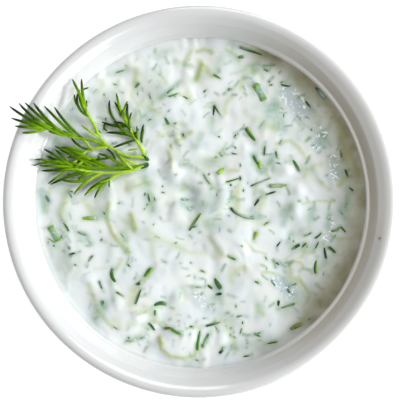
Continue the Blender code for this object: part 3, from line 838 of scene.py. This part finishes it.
def threads(paths, widths, heights, sides):
    """Tapered rods: about each path (n, m, 3) an oval of the given half widths and half heights (n, m),
    set square to the path and level across it, with both ends closed by fans. Returns points, quads,
    triangles, and each point's rod and its place along it from 0 to 1."""
    count, stops, _ = paths.shape
    along = np.gradient(paths, axis=1)
    along /= np.linalg.norm(along, axis=2, keepdims=True)
    across = np.cross(along, np.array([0.0, 0.0, 1.0]))
    across /= np.maximum(np.linalg.norm(across, axis=2, keepdims=True), 1e-9)
    up = np.cross(across, along)
    angle = circle(sides)
    ring = (
        across[:, :, None] * (widths[:, :, None] * np.cos(angle))[..., None]
        + up[:, :, None] * (heights[:, :, None] * np.sin(angle))[..., None]
    )
    body = (paths[:, :, None] + ring).reshape(count, stops * sides, 3)
    points = np.concatenate([body, paths[:, :1], paths[:, -1:]], axis=1)
    round_points = stops * sides
    index = np.arange(round_points).reshape(stops, sides)
    caps = np.vstack([fan(index[0], round_points), fan(index[-1][::-1], round_points + 1)])
    per_rod = round_points + 2
    offset = np.arange(count)[:, None, None] * per_rod
    place = np.r_[np.repeat(np.linspace(0, 1, stops), sides), 0, 1]
    rod = np.repeat(np.arange(count), per_rod)
    quads = (strips(index) + offset).reshape(-1, 4)
    caps = (caps + offset).reshape(-1, 3)
    return points.reshape(-1, 3), quads, caps, rod, np.tile(place, count)


# ---- Finishes ----


def glaze_finish(bowl):
    """White glaze with a faint orange peel: warmer where it thins at the lip, darker towards +X as painted
    shade, with painted shade and a painted highlight on the wall over the dip, greyer outside as painted
    shade, and bare clay under the foot."""
    glaze = Finish("glaze", {"Coat Weight": 0.35, "Coat Roughness": 0.04, "Specular IOR Level": 0.5})
    height = glaze.axis("Z")
    cloud = glaze.ramp(glaze.noise(30 * MM, 3), 0.35, 0.7)
    lip = glaze.ramp(height, BOWL_HEIGHT - 0.9 * MM, BOWL_HEIGHT)
    # Painted shade towards +X: the thin glaze's warmer, darker tint, and the bands' strength below.
    shady = glaze.ramp(glaze.axis("X"), 8 * MM, 44 * MM)
    colour = glaze.mix(0.25 * cloud + 0.2 * lip + 0.4 * shady, bowl.glaze, bowl.thin_glaze_and_shade)
    speck_away = glaze.distance(SPECK_PLACE) + 0.5 * MM * glaze.noise(0.5 * MM)
    colour = glaze.mix(0.6 - 0.6 * glaze.ramp(speck_away, *SPECK_HALO), colour, (0.50, 0.27, 0.04))
    colour = glaze.mix(0.9 - 0.9 * glaze.ramp(speck_away, *SPECK_CORE), colour, (0.05, 0.04, 0.01))
    from_axis = glaze.distance_from_axis()
    bands = (
        # Painted shade on the inner wall over the dip, towards +X.
        (WALL_SHADE_BAND, 0.9 * shady, bowl.wall_shade_tint),
        (UPPER_WALL_SHADE_BAND, 0.3 * shady, bowl.wall_shade_tint),
        # Painted highlight on the ledge, towards +X.
        (LEDGE_HIGHLIGHT, 0.9 * shady, (0.92, 0.87, 0.80)),
        # Painted shade in the corner under the chamfer, deeper towards +X.
        (CORNER_SHADE_RING, 0.05 + 0.4 * shady, (0.42, 0.40, 0.37)),
    )
    for limits, share, tint in bands:
        colour = glaze.mix(share * glaze.band(from_axis, *limits), colour, tint)
    # The outer wall's darker glaze is painted shade, toning down the light from the window and the glowing
    # floor.
    over_dip = glaze.ramp(height, 38 * MM, 39 * MM) * (1 - glaze.ramp(from_axis, 54.5 * MM, 55.5 * MM))
    outside = (1 - over_dip) * (1 - glaze.ramp(height, 43 * MM, 47 * MM))
    colour = glaze.mix(outside, colour, bowl.outside)
    bare = 1 - glaze.ramp(height, 0.5 * MM, 0.9 * MM)
    colour = glaze.mix(bare, colour, bowl.bisque)
    roughness = 0.10 + 0.10 * glaze.noise(6 * MM) + 0.55 * bare
    peel = glaze.noise(1.6 * MM) * (1 - bare) + 3 * glaze.noise(0.25 * MM, 3) * bare
    glaze.drive(Base_Color=colour, Roughness=roughness, Normal=glaze.bump(peel, 0.02 * MM))
    return glaze


def yogurt_finish(dip):
    """Stirred yogurt: cool white with warmer clouds, stained by herbs, cucumber and whey, darkened by a
    painted shadow of the +X rim by the wall, with fine herb dust and painted glints in the whey."""
    constants = {
        "Subsurface Weight": 0.25,
        "Subsurface Radius": (1.0, 0.95, 0.85),
        "Subsurface Scale": 1.2 * MM,
        "Coat Weight": 0.25,
        "Coat Roughness": 0.12,
        "IOR": 1.38,
    }
    yogurt = Finish("yogurt", constants)
    herb = yogurt.attribute("herb")
    cucumber = yogurt.attribute("cucumber")
    whey = yogurt.attribute("whey")
    painted_shadow = yogurt.attribute("painted_shadow")
    cloud = yogurt.ramp(yogurt.noise(9 * MM, 4, 0.55, 0.4), 0.38, 0.68)
    grain = yogurt.noise(1.6 * MM, 4, 0.6)
    colour = yogurt.mix(cloud, dip.yogurt, dip.warm_yogurt)
    colour = yogurt.mix(whey * (0.55 + 0.5 * grain), colour, dip.whey)
    colour = yogurt.mix(cucumber * (0.45 + 0.8 * grain), colour, dip.cucumber)
    fresher = yogurt.ramp(yogurt.noise(4 * MM), 0.4, 0.62)
    stain = yogurt.mix(fresher, dip.herb_stain, dip.fresh_stain)
    colour = yogurt.mix(herb * (0.35 + 0.9 * grain), colour, stain)
    # Painted shadow of the +X rim by the wall: a dark brownish tint, mottled by noise.
    shadow_mottle = yogurt.ramp(yogurt.noise(7 * MM), 0.3, 0.7)
    colour = yogurt.mix(painted_shadow * (0.72 + 0.28 * shadow_mottle), colour, dip.painted_shadow)
    dusty = yogurt.ramp(yogurt.noise(7 * MM), 0.45, 0.62)
    dust = yogurt.ramp(yogurt.noise(0.55 * MM, 1), 0.74, 0.82) * dusty
    colour = yogurt.mix(0.5 * dust, colour, (0.20, 0.30, 0.22))
    # Painted glints: small near-white spots in the whey.
    painted_glints = yogurt.ramp(yogurt.noise(1.7 * MM, 2, 0.6, 1.5), 0.55, 0.60) * yogurt.ramp(whey, 0.28, 0.6)
    colour = yogurt.mix(0.8 * painted_glints, colour, (0.97, 0.98, 1.0))
    roughness = 0.34 + 0.12 * grain - 0.22 * whey
    fine = yogurt.noise(0.9 * MM, 3, 0.6)
    yogurt.drive(Base_Color=colour, Roughness=roughness, Normal=yogurt.bump(fine, 0.035 * MM))
    return yogurt


def herb_finish():
    """Cut herb: each bit's own tint, mottled, with a thin film of yogurt over parts of it."""
    herb = Finish("chopped_herb", {"Specular IOR Level": 0.3, "Coat Weight": 0.12, "Coat Roughness": 0.15})
    mottle = herb.noise(0.7 * MM, 3)
    colour = herb.shade(herb.attribute("tint", "Color"), 0.2 + 1.6 * mottle)
    colour = herb.mix(herb.ramp(herb.attribute("fresh"), 0.0, 0.5), colour, (0.22, 0.40, 0.04))
    film = herb.attribute("film") * (0.5 + mottle)
    colour = herb.mix(film, colour, (0.56, 0.68, 0.62))
    grain = herb.bump(herb.noise(0.3 * MM), 0.03 * MM)
    herb.drive(Base_Color=colour, Roughness=0.35 + 0.3 * mottle, Normal=grain)
    return herb


def dill_finish(sprig):
    """Fresh dill: bright stalks, mottled green leaves with painted shade on the darker ones, nearly black
    tips, and a dark wet cut end.
    """
    dill = Finish("dill", {"Specular IOR Level": 0.06})
    along = dill.attribute("along")
    young_and_lit = dill.attribute("young_and_lit")
    mottle = dill.noise(1.3 * MM, 3)
    # Less young and lit leaves take the shaded leaf colour: painted shade under the leaves over them.
    colour = dill.mix(dill.ramp(young_and_lit + 0.25 * mottle, 0.08, 0.6), sprig.shaded, sprig.leaf)
    colour = dill.mix(dill.ramp(young_and_lit + 0.25 * mottle, 0.6, 1.15), colour, sprig.stalk)
    dark = dill.ramp(along + 0.3 * mottle, 0.55, 1.05) * (1 - 0.8 * young_and_lit)
    colour = dill.mix(dark, colour, sprig.tip)
    colour = dill.shade(colour, 0.65 + 0.7 * mottle)
    stem_end = (STEM_END[0] * MM, STEM_END[1] * MM, DIP_LEVEL)
    wet = 0.85 - 0.85 * dill.ramp(dill.distance(stem_end), 1.6 * MM, 4.2 * MM)
    colour = dill.mix(wet, colour, (0.015, 0.085, 0.035))
    grain = dill.bump(dill.noise(0.35 * MM), 0.03 * MM)
    dill.drive(Base_Color=colour, Roughness=0.36 + 0.25 * mottle, Normal=grain)
    return dill


def floor_finish(studio):
    """A pale even floor that glows a little, so that the bowl's shadow on it stays faint."""
    glow = {"Emission Strength": studio.floor_glow, "Emission Color": (1, 1, 1, 1)}
    floor = Finish("pale_floor", {"Roughness": 0.7, **glow})
    floor.drive(Base_Color=floor.mix(0.2 * floor.noise(0.4), studio.floor, (0.78, 0.77, 0.76)))
    return floor


# ---- Pieces ----


def inner_section():
    """The inside of the bowl's section, from the floor's middle up to the lip."""
    return np.vstack([bezier(CAVITY, 22), rounded(UPPER_WALL, 0.22 * MM, 0.28 * MM)[1:]])


def bowl_profile():
    """The bowl's whole section, from the floor's middle over the lip to the middle of the foot's recess."""
    inner = inner_section()
    inner[0, 0] = FIRST_RING
    outer = (bezier(LIP, 26), bezier(FLARE, 14), bezier(SIDE, 24), rounded(FOOT, 0.35 * MM, 0.35 * MM))
    return np.vstack([inner, *(curve[1:] for curve in outer), [[LAST_RING, RECESS_HEIGHT]]])


class TZATZIKI_OT_bowl(bpy.types.Operator):
    """Build the glazed bowl: its section turned about Z, with a slight waver of the wall"""

    bl_idname = "tzatziki.bowl"
    bl_label = "Glazed Bowl"

    def execute(self, context):
        bowl = context.scene.tzatziki_bowl
        points, quads, triangles = lathe(bowl_profile(), bowl.steps)
        angle = np.arctan2(points[:, 1], points[:, 0])
        stray = 0.7 * np.cos(2 * angle + 0.6) + 0.3 * np.cos(3 * angle + 2.0)
        share = 1 + bowl.waver * stray / BOWL_RADIUS
        points[:, :2] *= share[:, None]
        piece = solid("glazed_bowl", points, quads, triangles)
        finished(piece, glaze_finish(bowl), "glaze", "bowl")
        return {"FINISHED"}


def wall_radius(height):
    """Radius of the bowl's inner surface at a height near the dip's level."""
    inner = inner_section()
    return np.interp(height, inner[:, 1], inner[:, 0])


def yogurt_body(dip):
    """Points, quads and triangles of the yogurt: its top is a disc at the dip's height, widened at its
    edge to meet the wall, and a skirt of rings runs down the bowl's cavity to a point in the middle of
    its floor."""
    x, y = (side.ravel() * DIP_EDGE_RADIUS for side in disc_grid(dip.rows))
    z = dip_surface(x, y, dip)
    rim = rim_order(dip.rows)
    snug = (wall_radius(z[rim]) + INTO_WALL) / np.hypot(x[rim], y[rim])
    x[rim] *= snug
    y[rim] *= snug
    angle = np.arctan2(y[rim], x[rim])
    depths = bezier(CAVITY, 9)[::-1][1:-1]
    skirt = rings_about_z(depths[:, :1] - SKIRT_GAP, depths[:, 1:] + SKIRT_LIFT, angle)
    bottom = [[0, 0, FLOOR_HEIGHT + SKIRT_LIFT]]
    points = np.vstack([np.column_stack([x, y, z]), skirt.reshape(-1, 3), bottom])
    index = np.arange(dip.rows**2).reshape(dip.rows, dip.rows)
    corners = [index[:-1, :-1], index[:-1, 1:], index[1:, 1:], index[1:, :-1]]
    cells = np.stack(corners, axis=-1).reshape(-1, 4)
    rings = np.vstack([rim, len(x) + np.arange(len(depths) * len(rim)).reshape(len(depths), -1)])
    return points, np.vstack([cells, strips(rings)]), fan(rings[-1][::-1], len(points) - 1)


def stains_and_shadow(x, y, herbs):
    """How strongly herbs, cucumber, whey and the painted shadow of the +X rim tint the yogurt at each point.
    """
    bits = herb_bits(herbs)[0]
    routes = bit_routes(bits, 4) / MM
    halos = [(HALO_STRENGTH, 0.5 * bit[4] + HALO_MARGIN, route) for bit, route in zip(bits, routes)]
    return {
        "herb": patches(x, y, [*SUNKEN, *halos, *scattered(*SPECKS), *scattered(*CLOUDS)]),
        "cucumber": patches(x, y, [*CUCUMBER, *scattered(*SHREDS)]),
        "whey": patches(x, y, WHEY),
        "painted_shadow": patches(x, y, RIM_SHADOW_MARKS),
    }


class TZATZIKI_OT_dip(bpy.types.Operator):
    """Build the yogurt: a fine disc at the dip's height, and a skirt down the wall to a closed bottom"""

    bl_idname = "tzatziki.dip"
    bl_label = "Yogurt"

    def execute(self, context):
        dip = context.scene.tzatziki_dip
        points, quads, triangles = yogurt_body(dip)
        tints = stains_and_shadow(points[:, 0], points[:, 1], context.scene.tzatziki_herbs)
        piece = solid("stirred_yogurt", points, quads, triangles, tints)
        piece.data.set_sharp_from_angle(angle=RIM_CORNER)
        finished(piece, yogurt_finish(dip), "yogurt", "dip")
        return {"FINISHED"}


def herb_bits(herbs):
    """Every chopped bit, as in CHOPPED, and its tone's number: the placed ones, then small crumbs, of
    which many gather in loose groups."""
    placed = np.array([bit for tone in TONES for bit in CHOPPED[tone]], float)
    tones = np.array([i for i, tone in enumerate(TONES) for _ in CHOPPED[tone]])
    draw = np.random.default_rng(herbs.seed)
    count = herbs.crumbs
    spots = random_spots(draw, CRUMB_REACH, count)
    middles = spots[draw.integers(0, CRUMB_GROUPS, count)]
    groups = middles + draw.normal(0, CRUMB_GROUP_SPREAD, (count, 2))
    grouped = (np.hypot(*groups.T) < CRUMB_REACH) & (draw.uniform(0, 1, count) < 0.6)
    spots = np.where(grouped[:, None], groups, spots)
    size = draw.gamma(1.6, 0.42, count) + 0.3
    crumbs = np.column_stack([
        spots,
        draw.uniform(0, 360, count),
        size,
        np.minimum(size, draw.uniform(0.28, 0.62, count)),
        draw.uniform(-50, 50, count),
    ])
    crumb_tones = draw.choice(len(TONES), count, p=CRUMB_TONE_SHARES)
    return np.vstack([placed, crumbs]), np.concatenate([tones, crumb_tones])


def bit_routes(bits, stops):
    """The centrelines of bits, in metres."""
    return arcs(bits[:, :2] * MM, np.radians(bits[:, 2]), bits[:, 3] * MM, np.radians(bits[:, 5]), stops)


def arcs(middles, headings, lengths, bends, stops):
    """Flat circular arcs about their middles: the heading turns evenly along each by its bend."""
    share = np.linspace(-0.5, 0.5, stops)
    turn = headings[:, None] + bends[:, None] * 0.5 * (share[1:] + share[:-1])
    step = lengths[:, None] / (stops - 1)
    run = np.stack([step * np.cos(turn), step * np.sin(turn)], axis=-1)
    route = np.concatenate([np.zeros((len(middles), 1, 2)), np.cumsum(run, axis=1)], axis=1)
    centre = 0.5 * (route.min(axis=1) + route.max(axis=1))
    return route - centre[:, None] + middles[:, None]


class TZATZIKI_OT_herbs(bpy.types.Operator):
    """Build the chopped herbs: short flat rods pressed into the yogurt, some placed and some scattered"""

    bl_idname = "tzatziki.herbs"
    bl_label = "Chopped Herbs"

    def execute(self, context):
        herbs = context.scene.tzatziki_herbs
        dip = context.scene.tzatziki_dip
        bits, tone = herb_bits(herbs)
        draw = np.random.default_rng(herbs.seed + 1)
        total = len(bits)
        stops = 7
        flat = bit_routes(bits, stops)
        share = np.linspace(-1, 1, stops)
        half = 0.5 * bits[:, 4] * MM
        surface = dip_surface(flat[..., 0], flat[..., 1], dip)
        tilt = draw.uniform(-0.10, 0.10, total) * np.minimum(bits[:, 3], 5) * MM
        sunk = np.where(tone == TEAL, TEAL_SUNK, draw.uniform(*BIT_SUNK, total)) * half
        height = surface - sunk[:, None] + tilt[:, None] * share
        paths = np.concatenate([flat, height[..., None]], axis=-1)
        swell = 1 - 0.25 * np.abs(share) ** 3
        widths = half[:, None] * swell
        sides = 6
        points, quads, caps, rod, place = threads(paths, widths, BIT_FLATNESS * widths, sides)
        palette = np.array([[*getattr(herbs, name), 1.0] for name in TONES])
        tint = palette[tone] * draw.uniform(0.75, 1.3, (total, 1))
        tint[:, 3] = 1
        film = np.where(tone == TEAL, TEAL_FILM, draw.uniform(*BIT_FILM, total))[rod]
        film = film + 0.35 * np.cos(draw.uniform(0, 7, total)[rod] + 3.5 * place)
        side = np.r_[np.tile(np.cos(circle(sides)), stops), 0, 0]
        fresh = np.where(tone < LIME, draw.uniform(-1, 1, total), 0)[rod] * np.tile(side, total)
        looks = {"tint": tint[rod], "film": np.clip(film, 0, 0.85), "fresh": np.clip(fresh, 0, 1)}
        piece = solid("chopped_herbs", points, quads, caps, looks)
        finished(piece, herb_finish(), "dill")
        return {"FINISHED"}


class TZATZIKI_OT_chives(bpy.types.Operator):
    """Build the chive slices: short hollow tubes, each a ring that runs along the outside and back inside"""

    bl_idname = "tzatziki.chives"
    bl_label = "Chive Slices"

    def execute(self, context):
        dip = context.scene.tzatziki_dip
        all_points, all_quads, all_tints = [], [], []
        sides = 18
        angle = circle(sides)
        outward = np.array([-1, -0.9, -0.45, 0, 0.45, 0.9, 1])
        share = np.r_[outward, outward[::-1]]
        outer = CHIVE_RADIUS * np.array([0.94, 1, 1, 1, 1, 1, 0.94])
        inner = CHIVE_BORE_RADIUS * np.array([1.04, 1, 1, 1, 1, 1, 1.04])
        radius = np.r_[outer, inner]
        for number, (x, y, heading, length) in enumerate(CHIVES):
            turn = math.radians(heading)
            way = np.array([math.cos(turn), math.sin(turn), 0])
            across = np.array([-way[1], way[0], 0])
            middle = np.array([x * MM, y * MM, 0])
            level = float(dip_surface(middle[:1], middle[1:2], dip)[0])
            spine = middle + share[:, None] * 0.5 * length * MM * way
            spine[:, 2] = level - CHIVE_DEPTH + CHIVE_SAG * share**2
            up = np.array([0, 0, CHIVE_FLATNESS])
            oval = np.cos(angle)[:, None] * across + np.sin(angle)[:, None] * up
            ring = radius[:, None, None] * oval
            points = (spine[:, None] + ring).reshape(-1, 3)
            index = np.arange(len(points)).reshape(len(share), sides)
            turned = np.roll(index, -1, axis=1)
            after = np.roll(index, -1, axis=0)
            both = np.roll(turned, -1, axis=0)
            quads = np.stack([index, turned, both, after], axis=-1).reshape(-1, 4)
            ends = np.clip((np.abs(share) - 0.3) / 0.6, 0, 1)[:, None]
            tint = (1 - ends) * CHIVE_MIDDLE_TINT + ends * CHIVE_END_TINT
            tint = np.repeat(tint, sides, axis=0)
            all_points.append(points)
            all_quads.append(quads + number * len(points))
            all_tints.append(np.column_stack([tint, np.ones(len(tint))]))
        piece = solid(
            "chive_slices",
            np.vstack(all_points),
            np.vstack(all_quads),
            np.zeros((0, 3), int),
            {"tint": np.vstack(all_tints)},
        )
        finished(piece, herb_finish(), "dill")
        return {"FINISHED"}


def along_route(corners, count):
    """Count evenly spaced points on a Catmull-Rom curve through corners given in millimetres."""
    corners = np.array(corners, float) * MM
    padded = np.vstack([2 * corners[0] - corners[1], corners, 2 * corners[-1] - corners[-2]])
    a, b, c, d = (padded[i : len(padded) - 3 + i, None] for i in range(4))
    t = np.linspace(0, 1, 24, endpoint=False)[None, :, None]
    steep = 2 * a - 5 * b + 4 * c - d
    curve = 0.5 * (2 * b + (c - a) * t + steep * t**2 + (3 * b - a - 3 * c + d) * t**3)
    dense = np.vstack([curve.reshape(-1, 2), corners[-1:]])
    run = run_lengths(dense)
    stops = np.linspace(0, run[-1], count)
    return np.column_stack([np.interp(stops, run, side) for side in dense.T])


def bed(flat, rise_from):
    """Height of what a thread of the sprig lies on: the dip, a straight slope up to the lip, then level.
    The slope starts at the given radius in millimetres."""
    start = rise_from * MM
    radius = np.linalg.norm(flat, axis=1)
    slope = np.clip((radius - start) / (RIM_RADIUS - start), 0, 1)
    near = np.minimum(1, start / np.maximum(radius, 1e-6))
    low = DIP_LEVEL + broad_relief(flat[:, 0] * near, flat[:, 1] * near)
    return low * (1 - slope) + (BOWL_HEIGHT + RIM_CLEARANCE) * slope


def laid(flat, rise_from, lift):
    """A thread along its flat points: it lies over its bed, rises by up to the lift as the first part of
    a sine, and dives under the dip's surface beside the stem's cut end."""
    t = np.linspace(0, 1, len(flat))
    away = np.linalg.norm(flat - np.array(STEM_END) * MM, axis=1)
    dive = (CLEARANCE + STALK_RADIUS + STEM_DEPTH) * np.clip(1 - away / STEM_DIVE_LENGTH, 0, 1)
    height = bed(flat, rise_from) + CLEARANCE + STALK_RADIUS + lift * np.sin(2.3 * t) - dive
    return np.column_stack([flat, height])


def swept(base, heading, length, bend, stops):
    """A flat arc that starts at its base and turns evenly from its heading by its bend."""
    middles = (np.arange(stops - 1) + 0.5) / (stops - 1)
    turned = np.radians(heading + bend * middles)
    steps = length * MM / (stops - 1) * np.column_stack([np.cos(turned), np.sin(turned)])
    return base + np.vstack([np.zeros((1, 2)), np.cumsum(steps, axis=0)])


def sprig_threads(stops):
    """Every thread of the sprig: its flat points, where its bed starts to rise, half width, how young and
    lit it is, and whether it is a leaf. A leaf is thicker the longer it is."""
    for frond in FRONDS.values():
        stalk = along_route(frond["stalk"], stops)
        yield stalk, frond["rise_from"], STALK_HALF_WIDTH, frond["young_and_lit"], False
        for share, heading, length, bend, young_and_lit in frond["leaves"]:
            base = np.array([np.interp(share * (stops - 1), np.arange(stops), side) for side in stalk.T])
            flat = swept(base, heading, length, bend, stops)
            yield flat, frond["rise_from"], leaf_half_width(length), young_and_lit, True
    for x, y, heading, length, bend, young_and_lit in LOOSE_LEAVES:
        flat = swept(np.array([x, y]) * MM, heading, length, bend, stops)
        yield flat, LOOSE_RISE_FROM, leaf_half_width(length), young_and_lit, True


def leaf_half_width(length):
    """Half width in metres of a leaf whose length is in millimetres."""
    return min(0.16 + 0.018 * length, 0.33) * MM


class TZATZIKI_OT_sprig(bpy.types.Operator):
    """Build the dill sprig: its stalks and every leaf, each a tapered thread along its own route"""

    bl_idname = "tzatziki.sprig"
    bl_label = "Dill Sprig"

    def execute(self, context):
        sprig = context.scene.tzatziki_sprig
        draw = np.random.default_rng(sprig.seed)
        t = np.linspace(0, 1, THREAD_STOPS)
        leaf_shape = (0.66 + 0.34 * np.sin(np.pi * t**0.8)) * np.sqrt(np.clip((1.03 - t) / 0.17, 0, 1))
        stalk_shape = 1 - 0.12 * t
        paths, widths, youth_and_light, is_leaf = [], [], [], []
        for flat, rise_from, half_width, young_and_lit, leaf in sprig_threads(THREAD_STOPS):
            lift = (0.05 + 0.75 * young_and_lit + draw.uniform(-0.2, 0.35)) * MM if leaf else 0.0
            paths.append(laid(flat, rise_from, lift))
            widths.append(half_width * sprig.fullness * (leaf_shape if leaf else stalk_shape))
            youth_and_light.append(young_and_lit)
            is_leaf.append(leaf)
        widths = np.array(widths)
        heights = THREAD_FLATNESS * widths
        points, quads, caps, rod, place = threads(np.array(paths), widths, heights, THREAD_SIDES)
        along = place * np.array(is_leaf, float)[rod]
        young_and_lit = np.array(youth_and_light)[rod] * (1 - 0.25 * along)
        piece = solid("sprig_of_dill", points, quads, caps, {"young_and_lit": young_and_lit, "along": along})
        finished(piece, dill_finish(sprig), "dill", "dill_sprig")
        return {"FINISHED"}


class TZATZIKI_OT_studio(bpy.types.Operator):
    """Set up the pale floor, the window's and the room's lights, the fill and the camera"""

    bl_idname = "tzatziki.studio"
    bl_label = "Studio"

    def execute(self, context):
        studio = context.scene.tzatziki_studio
        half = FLOOR_HALF_SIZE
        corners = np.array([[-half, -half, 0], [half, -half, 0], [half, half, 0], [-half, half, 0]])
        floor = solid("floor", corners, np.array([[0, 1, 2, 3]]), np.zeros((0, 3), int))
        floor.location.z = BOWL_LOW.z - FLOOR_DROP
        floor.data.materials.append(floor_finish(studio).material)
        middle = Vector((0, 0, DIP_LEVEL))
        for name, (azimuth, height, width, share, colour) in LIGHTS.items():
            flat = math.cos(height)
            way = Vector((math.cos(azimuth) * flat, math.sin(azimuth) * flat, math.sin(height)))
            soft_light(name, middle, way, width, studio.key_energy * share, colour)
        world = bpy.data.worlds.new("room")
        world.use_nodes = True
        background = world.node_tree.nodes["Background"]
        background.inputs["Color"].default_value = ROOM_COLOUR
        background.inputs["Strength"].default_value = studio.fill
        context.scene.world = world
        back = Vector((math.sin(studio.lean_right), -math.sin(studio.lean_near), 1)).normalized()
        camera = bpy.data.objects.new("camera", bpy.data.cameras.new("camera"))
        camera.data.lens = studio.lens
        camera.data.clip_start = 0.01
        camera.matrix_world = looking(CAMERA_TARGET, back, studio.distance)
        context.scene.collection.objects.link(camera)
        context.scene.camera = camera
        context.scene.view_settings.view_transform = "Standard"
        return {"FINISHED"}


def looking(target, back, distance):
    """Placement of a camera or light at a distance behind its target, with +Y upwards in its view."""
    right = Vector((0, 1, 0)).cross(back).normalized()
    up = back.cross(right)
    turn = Matrix((right, up, back)).transposed().to_4x4()
    turn.translation = target + back * distance
    return turn


def soft_light(name, target, way, size, energy, colour):
    """A square area light that shines on the target from the given way."""
    light = bpy.data.lights.new(name, "AREA")
    light.shape = "SQUARE"
    light.size = size
    light.energy = energy
    light.color = colour
    lamp = bpy.data.objects.new(name, light)
    lamp.matrix_world = looking(target, way.normalized(), LIGHT_DISTANCE)
    bpy.context.scene.collection.objects.link(lamp)


# ---- Add-on ----


class TZATZIKI_PT_panel(bpy.types.Panel):
    """Settings and operators of the tzatziki bowl"""

    bl_idname = "TZATZIKI_PT_panel"
    bl_label = "Tzatziki Bowl"
    bl_space_type = "VIEW_3D"
    bl_region_type = "UI"
    bl_category = "Tzatziki"

    def draw(self, context):
        for settings, (_, *operators) in SECTIONS.items():
            box = self.layout.box()
            group = getattr(context.scene, settings)
            for name in group.bl_rna.properties.keys():
                if name not in ("rna_type", "name"):
                    box.prop(group, name)
            for operator in operators:
                box.operator(operator.bl_idname)


# The panel's sections: each one's settings on the scene, their group, and the operators that use them.
SECTIONS = {
    "tzatziki_bowl": (BowlSettings, TZATZIKI_OT_bowl),
    "tzatziki_dip": (DipSettings, TZATZIKI_OT_dip),
    "tzatziki_herbs": (HerbSettings, TZATZIKI_OT_herbs, TZATZIKI_OT_chives),
    "tzatziki_sprig": (SprigSettings, TZATZIKI_OT_sprig),
    "tzatziki_studio": (StudioSettings, TZATZIKI_OT_studio),
}
CLASSES = (*(cls for section in SECTIONS.values() for cls in section), TZATZIKI_PT_panel)


def register():
    for cls in CLASSES:
        bpy.utils.register_class(cls)
    for name, (group, *_) in SECTIONS.items():
        setattr(bpy.types.Scene, name, PointerProperty(type=group))


def unregister():
    for name in SECTIONS:
        delattr(bpy.types.Scene, name)
    for cls in reversed(CLASSES):
        bpy.utils.unregister_class(cls)


def clear_start_scene():
    """Removes Blender's own startup objects, and keeps the frame."""
    for name in ("Cube", "Light", "Camera"):
        found = bpy.data.objects.get(name)
        if found:
            bpy.data.objects.remove(found)


def main():
    clear_start_scene()
    register()
    bpy.ops.tzatziki.studio()
    bpy.ops.tzatziki.bowl()
    bpy.ops.tzatziki.dip()
    bpy.ops.tzatziki.herbs()
    bpy.ops.tzatziki.chives()
    bpy.ops.tzatziki.sprig()


if __name__ == "__main__":
    main()
